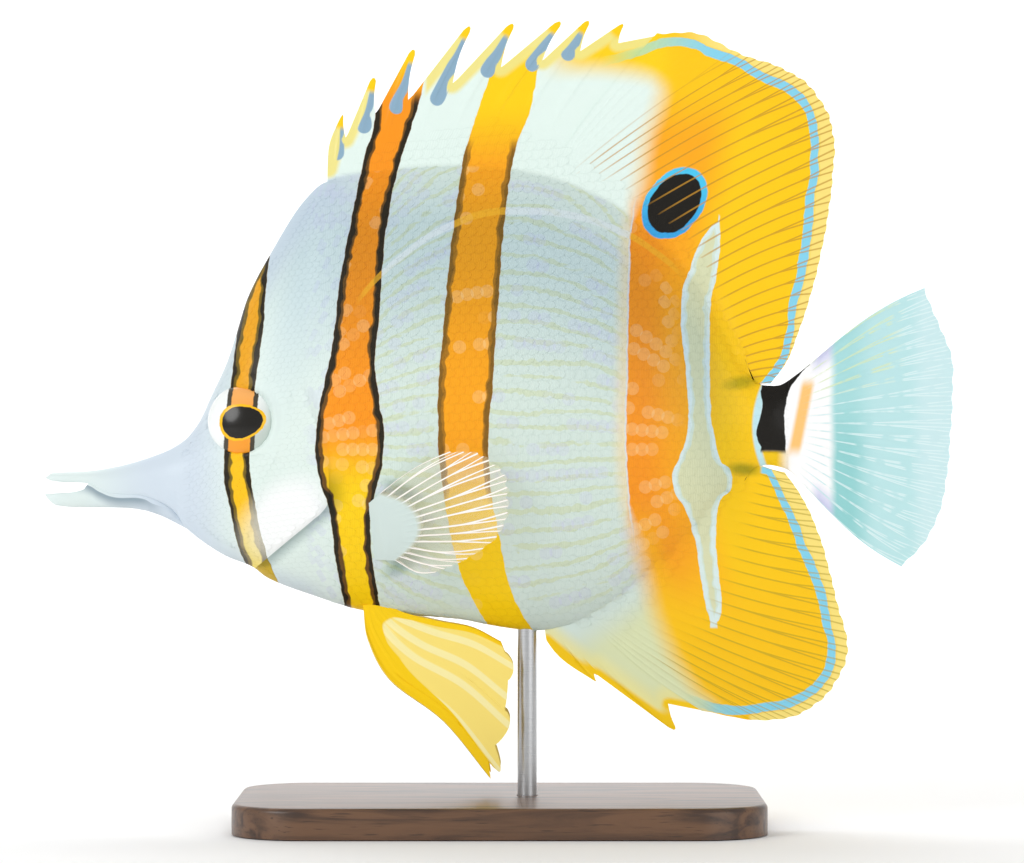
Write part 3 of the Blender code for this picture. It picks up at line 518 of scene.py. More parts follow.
def oval(tree, spot, centre, sizes, turn=0.0):
    """How far out a spot lies in a tilted oval seen from the side: 1 on its edge."""
    seen = node(tree, "VectorMath", (spot, (centre[0], 0, centre[1])), operation="SUBTRACT")
    turned = node(tree, "VectorRotate", {"Vector": seen, "Angle": turn}, rotation_type="Y_AXIS")
    flat = node(tree, "VectorMath", (turned, (1 / sizes[0], 0, 1 / sizes[1])), operation="MULTIPLY")
    return node(tree, "VectorMath", (flat,), operation="LENGTH").outputs["Value"]


def body_colour(tree):
    """All the markings of the body and its fins except the tail's, with painted shade and highlights, as one
    colour.
    """
    plain = spot_in_mm(tree)
    spot = spot_in_mm(tree, 0.35)
    parts = node(tree, "SeparateXYZ", (plain,))
    x, z = parts.outputs["X"], parts.outputs["Z"]
    above = less(tree, z, curve_value(tree, x, BACK))
    below = less(tree, curve_value(tree, x, UNDERSIDE), z)

    # Ground: green-white, bluer on the snout, palest on the fins' bases
    ground = over(tree, "E0EEE8", "D4E4DC", rise(tree, x, -36, -24))
    ground = over(tree, ground, "D0DCE7", rise(tree, x, -50, -61))
    ground = over(tree, ground, "DDEAE8", rise(tree, x, -68, -84))
    # Painted shade, darker and bluer, along the nape below the back's outline
    nape_shade = both(tree, rise(tree, above, -13, -2), rise(tree, x, -60, -48), rise(tree, x, -24, -34), 0.75)
    ground = over(tree, ground, "C0CFDF", nape_shade)
    throat = both(tree, rise(tree, below, -5, -0.5), rise(tree, x, -70, -62), rise(tree, x, -30, -40), 0.6)
    ground = over(tree, ground, "CBD8E4", throat)
    fin_base = both(tree, rise(tree, above, -0.6, 0.8), rise(tree, x, -38, -34))
    ground = over(tree, ground, "E3F3EC", fin_base)
    ground = over(tree, ground, "DDE4B8", both(tree, rise(tree, below, 0, 9), rise(tree, x, 9, 18)))
    lines, dots = flank_pattern(tree, plain)
    on_body = both(tree, rise(tree, above, 0.2, -0.6), rise(tree, below, 0.2, -0.6))
    colour = over(tree, ground, "CDD7A6", both(tree, lines, on_body, 0.52))
    colour = over(tree, colour, "CBCDEA", both(tree, dots, on_body, 0.24))
    on_flank = both(tree, dots, on_body, 0.2)

    def dotted(fill):
        return over(tree, fill, "FFE3A8", on_flank)

    painted_highlight, shade, shaded_below_cover = gill_masks(tree, plain)
    # Painted highlight on the gill cover's lower corner
    colour = over(tree, colour, "FBFCFC", both(tree, painted_highlight, 0.9))

    # Orange to yellow over the rear of the body and both soft fins
    fine = node(tree, "SeparateXYZ", (spot,))
    behind = less(tree, fine.outputs["X"], edge_at(tree, fine.outputs["Z"], BAND_4_FRONT))
    margin = less(tree, z, curve_value(tree, x, mm(BACK_YELLOW)))
    margin = both(tree, rise(tree, margin, -2.5, 3.5), rise(tree, x, 6, 17))
    colour = over(tree, colour, "FBD118", margin)
    middle = both(tree, rise(tree, z, -26, -14), rise(tree, z, 46, 36))
    hard = node(tree, "MapRange", {"Value": middle, "To Min": 3.4, "To Max": 0.15})
    soft = node(tree, "Math", (hard, -1.0), operation="MULTIPLY")
    rear = node(
        tree, "MapRange", {"Value": behind, "From Min": soft, "From Max": hard},
        interpolation_type="SMOOTHSTEP",
    )
    haze = both(tree, rise(tree, behind, -3.2, -0.2), rise(tree, behind, 0.2, -0.1), middle, 0.7)
    colour = over(tree, colour, "F1DDAE", haze)
    amber = over(tree, "F8971D", "FBAA1B", rise(tree, behind, 3, 11))
    amber = over(tree, amber, "FCCB14", rise(tree, behind, 10, 20))
    amber = over(tree, amber, "FBAE1B", both(tree, rise(tree, z, 34, 48), rise(tree, behind, 12, 6), 0.8))
    amber = over(tree, amber, "FCC41A", both(tree, rise(tree, z, 40, 50), rise(tree, behind, 3, -2)))
    amber = over(tree, amber, "FCC715", rise(tree, z, 54, 67))
    amber = over(tree, amber, "FBB01C", both(tree, rise(tree, z, -14, -26), rise(tree, behind, 8, 3)))
    amber = over(tree, amber, "FCC615", rise(tree, z, -24, -42))
    colour = over(tree, colour, dotted(amber), rear)
    pale_line = both(tree, rise(tree, behind, -0.2, 0.0), rise(tree, behind, 0.35, 0.15), middle, 0.8)
    colour = over(tree, colour, "D9EAF2", pale_line)

    # Pale olive wedge with a blue-white rim
    colour, _ = striped(tree, colour, spot, WEDGE, "D9DDB6", ("DAECEA", "D3E4D6"), 1.1)

    # The three front bands: yellow at their ends, orange between
    orange = over(tree, "FCD011", "F8961C", both(tree, rise(tree, z, -15, -1), rise(tree, z, 74, 62)))
    pale_orange = over(tree, "FCD012", "F9A61C", both(tree, rise(tree, z, -18, -4), rise(tree, z, 64, 48)))
    gold = over(tree, "FAC418", "EDA824", rise(tree, z, -6, 8))
    gold = over(tree, gold, "F1DA62", rise(tree, z, -16, -26))
    dark = ("2A2315", "6B4A1E")
    colour, on_band_1 = striped(tree, colour, spot, BAND_1, gold, ("2A2315", "75601F"), 1.25)
    # Painted highlight on the first band too, and below the gill cover's edge the band in painted shade
    colour = over(tree, colour, "F9F4E0", both(tree, painted_highlight, on_band_1, 0.6))
    colour = over(tree, colour, "CCAB2C", both(tree, shaded_below_cover, on_band_1))
    colour, on_band_2 = striped(
        tree, colour, spot, BAND_2, dotted(orange), dark, 1.25, rim_heights=(700, 125)
    )
    colour, on_band_3 = striped(
        tree, colour, spot, BAND_3, dotted(pale_orange), ("86601F", "A8741F"), 1.1,
        rim_heights=(530, 175),
    )
    on_bands = node(tree, "Math", (on_band_2, on_band_3), operation="ADD")
    on_orange = node(tree, "Math", (on_bands, rear), operation="ADD")

    # Painted shade: on the upper flank, behind the gill cover, round the breast fin and in the folds
    # where the soft fins leave the tail's root
    upper = both(
        tree, rise(tree, above, 0.3, -0.5), rise(tree, above, -46, -15), rise(tree, x, -50, -38),
        rise(tree, x, 52, 40),
    )
    deepest = node(tree, "MapRange", {"Value": above, "From Min": -0.5, "From Max": -11.0, "To Min": 0.2})
    colour = over(tree, colour, "DDE5F0", both(tree, upper, deepest), "MULTIPLY")
    colour = over(tree, colour, "A9B3B6", both(tree, shade, 0.75), "MULTIPLY")
    for centre, sizes, turn, tint in SHADE_SPOTS:
        shade_spot = rise(tree, oval(tree, plain, mm([centre])[0], sizes, math.radians(turn)), 1.0, 0.15)
        colour = over(tree, colour, tint, shade_spot, "MULTIPLY")

    # The arch of the lateral line, from the gill to the rear of the back
    arch = less(tree, z, curve_value(tree, x, mm(LATERAL_LINE)))
    arch = node(tree, "Math", (arch,), operation="ABSOLUTE")
    arch = both(tree, rise(tree, arch, 0.85, 0.6), rise(tree, x, -28.5, -26), rise(tree, x, 38, 32))
    arch_colour = over(tree, "D3DEE5", "E6B02C", on_orange)
    colour = over(tree, colour, arch_colour, both(tree, arch, 0.6))

    # Eyespot: black with a blue ring, its long axis leaning back
    half_sizes = [PIXEL * size for size in EYESPOT_SIZE]
    ring = oval(tree, spot, mm([EYESPOT_CENTRE])[0], half_sizes, EYESPOT_TURN)
    blue = over(tree, "38A4E2", "4CC6F0", rise(tree, z, 38, 47))
    colour = over(tree, colour, blue, rise(tree, ring, 1.03, 0.98))
    colour = over(tree, colour, "1B1813", rise(tree, ring, 0.85, 0.81))

    # Blue lines inside both soft fins' margins, and the paler margin outside them
    from_axis = node(tree, "Math", (z,), operation="ABSOLUTE")
    past_root = node(
        tree, "Math", (rise(tree, x, 51.3, 52.1), rise(tree, from_axis, 12, 14)), operation="MAXIMUM"
    )
    for pixels, centre, shown, start, full in (
        (BACK_BLUE, BACK_BLUE_CENTRE, above, 19, 44),
        (ANAL_BLUE, ANAL_BLUE_CENTRE, below, 35, 50),
    ):
        outside = blue_line(tree, spot, pixels, centre)
        on_fin = both(tree, rise(tree, shown, 0.0, 0.4), rise(tree, x, start, start + 9), past_root)
        pale_edge = both(tree, rise(tree, outside, 0.6, 1.4), on_fin, rise(tree, x, start + 14, full))
        colour = over(tree, colour, "FAE27E", pale_edge)
        away = node(tree, "Math", (outside,), operation="ABSOLUTE")
        tinted = over(tree, "C6DC92", "86D2EC", rise(tree, x, full - 20, full))
        colour = over(tree, colour, tinted, both(tree, rise(tree, away, 1.0, 0.8), on_fin))

    return peduncle_colour(tree, colour, plain, spot)


def gill_masks(tree, spot):
    """Masks for a painted highlight on the lower corner of the gill cover, a painted shadow under
    its rear edge, and what lies below that edge, where the first band is painted in shade."""
    parts = node(tree, "SeparateXYZ", (spot,))
    x, z = parts.outputs["X"], parts.outputs["Z"]
    ahead = less(tree, curve_value(tree, z, GILL_EDGE), x)
    low = both(tree, rise(tree, z, -30.0, -28.5), rise(tree, z, -8, -14))
    glow = oval(tree, spot, mm([GILL_SHINE])[0], GILL_SHINE_SIZE, GILL_SHINE_TURN)
    painted_highlight = both(
        tree, rise(tree, z, -30.0, -28.5), rise(tree, ahead, -0.1, 0.15), rise(tree, glow, 1.1, 0.45)
    )
    shade = both(tree, low, rise(tree, ahead, 0.1, -0.1), rise(tree, ahead, -4.5, -0.2))
    shaded_below_cover = both(tree, rise(tree, ahead, 0.1, -0.1), rise(tree, z, -26, -27))
    return painted_highlight, shade, shaded_below_cover


def peduncle_colour(tree, colour, plain, spot, outlined=True):
    """The tail root: a light-blue arc, a black bar with yellow under it, white, and an orange bar."""
    parts = node(tree, "SeparateXYZ", (plain,))
    x, z = parts.outputs["X"], parts.outputs["Z"]
    on_body = rise(tree, x, 40, 46)
    if outlined:
        over_top = less(tree, z, curve_value(tree, x, BACK))
        slack = node(tree, "MapRange", {"Value": x, "From Min": 54.0, "From Max": 57.0, "To Max": 1.2})
        over_top = less(tree, over_top, slack)  # no back fin stands over the end of the root
        under = less(tree, curve_value(tree, x, UNDERSIDE), z)
        on_body = both(tree, on_body, rise(tree, over_top, 0.25, 0.0), rise(tree, under, 0.25, 0.0))
    arc = node(tree, "Math", (z, 1.5), operation="ADD")
    arc = node(tree, "Math", (arc, arc), operation="MULTIPLY")
    arc = node(tree, "Math", (arc, 0.028, 49.8), operation="MULTIPLY_ADD")
    past = less(tree, x, arc)
    colour = over(tree, colour, "C3E8EE", both(tree, rise(tree, past, -0.3, 0.3), on_body))
    colour = over(tree, colour, "FEFEFE", both(tree, rise(tree, past, 1.2, 2.2), on_body))
    yellow = both(tree, rise(tree, past, 1.0, 1.6), rise(tree, z, -5.6, -6.6), rise(tree, x, 58, 54.5))
    colour = over(tree, colour, "F7CB18", both(tree, yellow, on_body))
    middle = both(tree, rise(tree, z, -8.0, -5.0), rise(tree, z, 8.6, 6.0))
    from_bar = less(tree, x, node(tree, "Math", (z, 0.2, 59.5), operation="MULTIPLY_ADD"))
    from_bar = node(tree, "Math", (from_bar,), operation="ABSOLUTE")
    colour = over(tree, colour, "FFC878", both(tree, rise(tree, from_bar, 1.7, 0.6), middle, on_body))
    return over(tree, colour, striped(tree, colour, spot, BAR, "17140F")[0], on_body)


def tail_colour(tree):
    """White at the tail's root with a lilac cast at its corners, aqua across it, and paler to
    its rear edge."""
    plain = spot_in_mm(tree)
    parts = node(tree, "SeparateXYZ", (spot_in_mm(tree, 0.5, 5.0),))
    x = parts.outputs["X"]
    across = node(tree, "SeparateXYZ", (node(tree, "UVMap", uv_map="rays"),)).outputs["X"]
    corner = node(tree, "Math", (across, 0.5), operation="PINGPONG")
    corner = both(tree, rise(tree, corner, 0.13, 0.0), rise(tree, x, 61, 63.5), 0.9)
    colour = peduncle_colour(tree, "FEFEFE", plain, spot_in_mm(tree, 0.35), outlined=False)
    colour = over(tree, colour, "CACCEC", corner)
    z = node(tree, "SeparateXYZ", (plain,)).outputs["Z"]
    aqua = over(tree, "A9DCDD", "95D2D2", rise(tree, z, 5, -8))
    colour = over(tree, colour, aqua, rise(tree, x, 64.8, 66.8))
    colour = over(tree, colour, "BCE4E6", rise(tree, x, 69.0, 75.0))
    return over(tree, colour, "CBE9EC", rise(tree, x, 80.5, 84.5))


def tail_line_colour(tree):
    x = node(tree, "SeparateXYZ", (spot_in_mm(tree),)).outputs["X"]
    across = node(tree, "SeparateXYZ", (node(tree, "UVMap", uv_map="rays"),)).outputs["X"]
    lower = over(tree, "BDE3E6", "E0F4F5", rise(tree, x, 64.0, 67.0))
    return over(tree, lower, "D8E8BC", both(tree, rise(tree, across, 0.36, 0.22), rise(tree, x, 81, 76)))


def ray_lines(tree, count, forks, uneven=0.0):
    """How far a spot on a fin lies from its nearest ray or branch in millimetres, and its share
    of the way along. The fin's own map runs across its rays, and along them to the margin. Where
    asked, the rays don't all fork at the same share."""
    parts = node(tree, "SeparateXYZ", (node(tree, "UVMap", uv_map="rays"),))
    across, share = parts.outputs["X"], parts.outputs["Y"]
    number = node(tree, "Math", (across, float(count)), operation="MULTIPLY")
    off = node(tree, "Math", (number, 0.5), operation="PINGPONG")
    nearest = node(tree, "Math", (number,), operation="ROUND")
    chance = node(tree, "TexWhiteNoise", {"W": nearest}, noise_dimensions="1D").outputs["Value"]
    spread = 0.25
    for fork in forks:
        start = node(tree, "Math", (chance, uneven, fork), operation="MULTIPLY_ADD")
        split = node(tree, "MapRange", {"Value": share, "From Min": start, "To Max": spread})
        off = node(tree, "Math", (less(tree, off, split),), operation="ABSOLUTE")
        spread /= 2
    return both(tree, off, attribute(tree, "pitch")), across, share


def bumped(tree, shader, height, distance, strength=1.0):
    bump = node(tree, "Bump", {"Height": height, "Distance": distance * MM, "Strength": strength})
    tree.links.new(bump.outputs["Normal"], shader.inputs["Normal"])


def skin_finish():
    """Fish skin under clear slime: pearly and even, with a wet gloss."""
    made, tree, shader = finish_named(
        "fish_skin", Roughness=0.4, IOR=1.42, Specular_IOR_Level=0.18, Coat_Weight=0.1, Coat_Roughness=0.2
    )
    colour = body_colour(tree)
    plain = spot_in_mm(tree)
    parts = node(tree, "SeparateXYZ", (plain,))
    x, z = parts.outputs["X"], parts.outputs["Z"]
    # Painted shadow under the upper jaw: a soft dark strip below the mouth line on the lower jaw
    mouth_shadow = less(tree, z, curve_value(tree, x, mm(MOUTH_LINE)))
    mouth_shadow = both(
        tree, rise(tree, mouth_shadow, 0.12, -0.05), rise(tree, mouth_shadow, -2.4, -0.1), rise(tree, x, -65, -72),
        rise(tree, x, -85, -81), 0.85,
    )
    colour = over(tree, colour, "8296A2", mouth_shadow)
    # Painted shade in the nostrils
    for nostril_x, nostril_z, radius in NOSTRILS:
        away = node(tree, "VectorMath", (plain, (nostril_x, 0, nostril_z)), operation="SUBTRACT")
        away = node(tree, "VectorMath", (away, (1, 0, 1)), operation="MULTIPLY")
        away = node(tree, "VectorMath", (away,), operation="LENGTH").outputs["Value"]
        colour = over(tree, colour, "5C6B7B", rise(tree, away, radius, radius * 0.5))
    tree.links.new(colour.outputs[2], shader.inputs["Base Color"])
    pores = node(tree, "TexNoise", {"Vector": plain, "Scale": 1 / 0.5, "Detail": 3.0})
    bumped(tree, shader, pores, 0.05, 0.35)
    return made


def scale_finish():
    """Scales of the same skin: each is pearly in its middle and a little darker at its rim."""
    made, tree, shader = finish_named(
        "fish_scales", Roughness=0.36, IOR=1.45, Specular_IOR_Level=0.18, Coat_Weight=0.1,
        Coat_Roughness=0.18,
    )
    colour = body_colour(tree)
    parts = node(tree, "SeparateXYZ", (node(tree, "UVMap", uv_map="scale"),))
    a, b = parts.outputs["X"], parts.outputs["Y"]
    rim = node(tree, "Math", (b, b), operation="MULTIPLY")
    rim = node(tree, "Math", (rim, a), operation="ADD")
    rim = both(tree, rise(tree, rim, 0.85, 1.25), 0.1)
    colour = over(tree, colour, "B4BDB8", rim, "MULTIPLY")
    tree.links.new(colour.outputs[2], shader.inputs["Base Color"])
    growth = node(tree, "Math", (a, 60.0), operation="MULTIPLY")
    growth = node(tree, "Math", (growth,), operation="SINE")
    bumped(tree, shader, growth, 0.02, 0.3)
    return made


def satin_finish(name, **fixed):
    """A finish for fins: a dull gloss, like a fin just out of the water."""
    gloss = {"Roughness": 0.42, "IOR": 1.45, "Specular_IOR_Level": 0.18, "Coat_Weight": 0.08}
    return finish_named(name, **(gloss | fixed))


def fin_finish(name, colour_of, count, forks, line_colour, strength, half, start, first=-1.0, broken=0.0):
    """A fin's web with its rays: the rays are stiffer, so they show as fine lines, from a share
    of the way out and from a share of the way back along the fin."""
    made, tree, shader = satin_finish(name)
    colour = colour_of(tree)
    off, across, share = ray_lines(tree, count, forks, 0.25)
    faint = node(tree, "TexNoise", {"Vector": spot_in_mm(tree), "Scale": 1 / 2.5, "Detail": 1.0})
    whole = node(tree, "MapRange", {"Value": faint, "From Min": 0.35, "From Max": 0.5, "To Min": 1 - broken})
    line = both(
        tree, rise(tree, off, half * 1.4, half * 0.6), rise(tree, share, start, start + 0.2),
        rise(tree, across, first, first + 0.05), whole, strength,
    )
    line_colour = line_colour(tree) if callable(line_colour) else line_colour
    colour = over(tree, colour, line_colour, line)
    tree.links.new(colour.outputs[2], shader.inputs["Base Color"])
    joints = node(tree, "Math", (share, 220.0), operation="MULTIPLY")
    joints = node(tree, "Math", (joints,), operation="SINE")
    joints = node(tree, "Math", (joints, 0.3, 0.7), operation="MULTIPLY_ADD")
    bumped(tree, shader, both(tree, rise(tree, off, 0.35, 0.1), joints), 0.05, 0.4)
    return made


def attribute(tree, name):
    return node(tree, "Attribute", attribute_name=name).outputs["Fac"]


def spiny_finish():
    """The spiny fin's leathery web; the bare end of each spine is blue-grey with a yellow tip,
    and its front edge is pale yellow except where the second band crosses."""
    made, tree, shader = satin_finish("spiny_fin")
    colour = body_colour(tree)
    x = node(tree, "SeparateXYZ", (spot_in_mm(tree),)).outputs["X"]
    on_band = both(tree, rise(tree, x, -26.4, -25.4), rise(tree, x, -14.2, -15.2))
    pale = both(tree, rise(tree, attribute(tree, "from_front"), 2.4, 1.2), less(tree, 1.0, on_band))
    colour = over(tree, colour, "EFE285", both(tree, pale, 0.95))
    colour = over(tree, colour, "8CADC4", rise(tree, attribute(tree, "bare_spine"), 0.12, -0.12))
    colour = over(tree, colour, "FBCF12", rise(tree, attribute(tree, "from_tip"), 3.6, 2.2))
    tree.links.new(colour.outputs[2], shader.inputs["Base Color"])
    grain = node(tree, "TexNoise", {"Vector": spot_in_mm(tree), "Scale": 1 / 0.6, "Detail": 3.0})
    bumped(tree, shader, grain, 0.04, 0.3)
    return made


def anal_spiny_finish():
    """The front of the anal fin: pale yellow-green web with yellow spines."""
    made, tree, shader = satin_finish("anal_spiny_fin")
    colour = body_colour(tree)
    from_front = attribute(tree, "from_front")
    colour = over(tree, colour, "EFE79A", both(tree, rise(tree, from_front, 5.0, 1.5), 0.8))
    colour = over(tree, colour, "FBCD12", rise(tree, from_front, 1.7, 0.7))
    colour = over(tree, colour, "FBCD12", rise(tree, attribute(tree, "from_tip"), 6.0, 3.0))
    tree.links.new(colour.outputs[2], shader.inputs["Base Color"])
    grain = node(tree, "TexNoise", {"Vector": spot_in_mm(tree), "Scale": 1 / 0.6, "Detail": 3.0})
    bumped(tree, shader, grain, 0.04, 0.3)
    return made


def belly_fin_finish():
    """The belly fin: deep yellow along its spine and its top, with a paler web and pale rays
    that run down it as broad soft stripes."""
    made, tree, shader = satin_finish("belly_fin")
    off, across, share = ray_lines(tree, len(BELLY_FIN_TIPS) - 1, ())
    ends = {"From Min": 0.45, "From Max": 0.9, "To Min": 0.3, "To Max": 0.13}
    front = node(tree, "MapRange", {"Value": share, **ends})
    rear = node(tree, "MapRange", {"Value": share, "From Min": 0.3, "To Min": 0.88, "To Max": 0.97})
    within = {"Value": across, "From Min": front, "From Max": rear, "To Min": -1.0}
    within = node(tree, "MapRange", within, clamp=False)
    corner = node(tree, "Math", (within, within), operation="MULTIPLY")
    corner = node(tree, "Math", (corner, corner), operation="MULTIPLY")
    begin = node(tree, "Math", (corner, 0.14, 0.2), operation="MULTIPLY_ADD")
    inside = node(tree, "Math", (within,), operation="ABSOLUTE")
    pale = both(tree, rise(tree, inside, 1.0, 0.95), rise(tree, less(tree, share, begin), 0.0, 0.03))
    colour = over(tree, "FCD00D", "FDE47A", pale)
    colour = over(tree, colour, "FEF3B4", both(tree, pale, rise(tree, off, 0.9, 0.5), 0.85))
    tree.links.new(colour.outputs[2], shader.inputs["Base Color"])
    bumped(tree, shader, rise(tree, off, 0.5, 0.1), 0.06, 0.4)
    return made


def breast_fin_finish():
    """The breast fin: white rays in a membrane as clear as wet film."""
    made, tree, shader = satin_finish("breast_fin", Roughness=0.35, IOR=1.4)
    off, across, share = ray_lines(tree, BREAST_RAY_COUNT, (0.42,), 0.35)
    ray = rise(tree, off, 0.21, 0.12)
    fleshy = attribute(tree, "flesh")
    colour = over(tree, "FAF4CE", "FBF6F2", ray)
    colour = over(tree, colour, "CFDEDA", fleshy)
    tree.links.new(colour.outputs[2], shader.inputs["Base Color"])
    solid = node(tree, "Math", (ray, fleshy), operation="MAXIMUM")
    alpha = node(tree, "MapRange", {"Value": solid, "To Min": 0.12, "To Max": 1.0})
    tree.links.new(alpha.outputs[0], shader.inputs["Alpha"])
    return made


PUPIL_CENTRE = (-50.3, -0.6)
PUPIL_SIZE = (4.05, 3.05)
PUPIL_TURN = math.radians(10)


def eye_finish():
    """The eye: a wet white ball with painted shade towards its lower right, the first band carried
    across it, and a ringed oval pupil.
    """
    made, tree, shader = finish_named(
        "eye", Roughness=0.25, IOR=1.38, Specular_IOR_Level=0.25, Coat_Weight=0.5, Coat_Roughness=0.16
    )
    spot = spot_in_mm(tree, 0.2, 1.0)
    parts = node(tree, "SeparateXYZ", (spot,))
    x, z = parts.outputs["X"], parts.outputs["Z"]
    centre = node(tree, "Math", (z, 0.08, PUPIL_CENTRE[0] - 0.35), operation="MULTIPLY_ADD")
    off = node(tree, "Math", (less(tree, x, centre),), operation="ABSOLUTE")
    # Painted shade: the white of the eye darkens towards its lower right
    ground = over(tree, "F4F8F6", "C6D2CB", rise(tree, less(tree, x, z), -52, -43))
    colour = over(tree, ground, "454034", rise(tree, off, 3.15, 2.95))
    band = over(tree, "F99F2A", "FBB260", rise(tree, z, 0, 5))
    colour = over(tree, colour, band, rise(tree, off, 2.25, 2.05))
    seen = node(tree, "VectorMath", (spot, (PUPIL_CENTRE[0], 0, PUPIL_CENTRE[1])), operation="SUBTRACT")
    turned = node(tree, "VectorRotate", {"Vector": seen, "Angle": PUPIL_TURN}, rotation_type="Y_AXIS")
    along = node(tree, "SeparateXYZ", (turned,))
    pointed = node(tree, "Math", (along.outputs["X"], 0.045, 1.0), operation="MULTIPLY_ADD")
    deep = node(tree, "Math", (along.outputs["Z"], pointed), operation="MULTIPLY")
    egg = node(tree, "CombineXYZ", {"X": along.outputs["X"], "Z": deep})
    sized = node(tree, "VectorMath", (egg, (1 / PUPIL_SIZE[0], 0, 1 / PUPIL_SIZE[1])), operation="MULTIPLY")
    ring = node(tree, "VectorMath", (sized,), operation="LENGTH").outputs["Value"]
    colour = over(tree, colour, "FBC010", rise(tree, ring, 1.17, 1.13))
    colour = over(tree, colour, "14110B", rise(tree, ring, 1.02, 0.98))
    tree.links.new(colour.outputs[2], shader.inputs["Base Color"])
    return made


def walnut_finish():
    """Oiled walnut: long dark grain along the base, with fine pores."""
    made, tree, shader = finish_named("oiled_walnut", Roughness=0.4, Coat_Weight=0.25, Coat_Roughness=0.25)
    place = node(tree, "TexCoord").outputs["Object"]
    grain = node(tree, "Mapping", {"Vector": place, "Scale": (25, 260, 260)})
    figure = node(tree, "TexNoise", {"Vector": grain, "Scale": 1.0, "Detail": 6.0, "Distortion": 1.2})
    pores = node(tree, "Mapping", {"Vector": place, "Scale": (150, 2200, 2200)})
    pores = node(tree, "TexNoise", {"Vector": pores, "Scale": 1.0, "Detail": 2.0})
    colour = over(tree, "6B4A30", "3A2415", rise(tree, figure, 0.38, 0.68))
    colour = over(tree, colour, "2A190E", both(tree, rise(tree, pores, 0.6, 0.72), 0.6))
    tree.links.new(colour.outputs[2], shader.inputs["Base Color"])
    bumped(tree, shader, pores, 0.04, 0.4)
    return made


def steel_finish():
    """Brushed stainless bar: fine turning marks round it."""
    made, tree, shader = finish_named("brushed_steel", Metallic=1.0)
    place = node(tree, "TexCoord").outputs["Object"]
    marks = node(tree, "Mapping", {"Vector": place, "Scale": (200, 200, 9000)})
    marks = node(tree, "TexNoise", {"Vector": marks, "Scale": 1.0, "Detail": 2.0})
    colour = over(tree, "AEB0B2", "C9CACB", marks)
    tree.links.new(colour.outputs[2], shader.inputs["Base Color"])
    rough = node(tree, "MapRange", {"Value": marks, "To Min": 0.22, "To Max": 0.4})
    tree.links.new(rough.outputs[0], shader.inputs["Roughness"])
    return made


# Shapes


def place_points(piece, points):
    """Sets a mesh's points, given in millimetres about the axis."""
    lifted = (np.asarray(points, float) + (0, 0, AXIS_HEIGHT)) * MM
    piece.data.vertices.foreach_set("co", lifted.astype(np.float32).ravel())
    piece.data.update()


def shares_of(piece):
    flat = np.empty(len(piece.data.vertices) * 3, np.float32)
    piece.data.vertices.foreach_get("co", flat)
    flat = flat.reshape(-1, 3)
    return flat[:, 0] + 0.5, flat[:, 1] + 0.5


def apply_modifier(piece, kind, **settings):
    modifier = piece.modifiers.new(kind.lower(), kind)
    for key, value in settings.items():
        setattr(modifier, key, value)
    bpy.context.view_layer.objects.active = piece
    bpy.ops.object.modifier_apply(modifier=modifier.name)


def grid(name, columns, rows):
    """A fine flat grid, a metre a side, ready to be shaped by its two shares."""
    bpy.ops.mesh.primitive_grid_add(x_subdivisions=columns, y_subdivisions=rows, size=1)
    piece = bpy.context.object
    piece.name = name
    piece.data.name = name
    piece.data.uv_layers[0].name = "rays"
    return piece


def done(piece, finish, nodes=()):
    """Dresses a finished piece and fixes it to the part's one body."""
    piece.data.materials.clear()
    piece.data.materials.append(finish)
    piece.select_set(False)
    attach(piece, "root")
    if nodes:
        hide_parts(*nodes)
    return piece


def sheet(name, columns, rows, shape, attributes=None, rays=0):
    """A thin closed sheet: shape gives each point of its middle and half its thickness. A fin
    with soft rays is told their number, and keeps how far apart they lie."""
    piece = grid(name, columns, rows)
    across, share = shares_of(piece)
    points, half = shape(across, share)
    place_points(piece, points)
    if rays:
        before, after = np.maximum(across - 1e-3, 0), np.minimum(across + 1e-3, 1)
        apart = np.linalg.norm(shape(after, share)[0] - shape(before, share)[0], axis=1)
        made = piece.data.attributes.new("pitch", "FLOAT", "POINT")
        made.data.foreach_set("value", (apart / (after - before) / rays).astype(np.float32))
    group = piece.vertex_groups.new(name="thickness")
    thickest = half.max()
    for i, value in enumerate(half / thickest):
        group.add([i], float(value), "REPLACE")
    for key, values in (attributes(across, share, points) if attributes else {}).items():
        made = piece.data.attributes.new(key, "FLOAT", "POINT")
        made.data.foreach_set("value", values.astype(np.float32))
    apply_modifier(
        piece, "SOLIDIFY", thickness=2 * thickest * MM, offset=0.0, vertex_group="thickness",
        use_quality_normals=True,
    )
    piece.vertex_groups.clear()
    piece.data.shade_smooth()
    piece.data.set_sharp_from_angle(angle=math.radians(50))
    return piece


def section(x, turn, inset=0.0):
    """Half a cross-section of the body: its width and height at a turn from belly to back."""
    upper = turn > 0
    reach = np.where(upper, back(x) - widest(x), widest(x) - underside(x)) - inset
    edge = np.where(upper, back_edge(x), belly_edge(x))
    taper = np.where(upper, back_taper(x), belly_taper(x))
    wide = edge + (half_width(x) - edge) * np.maximum(np.cos(turn), 0) ** taper - inset
    return wide, widest(x) + reach * np.sin(turn)


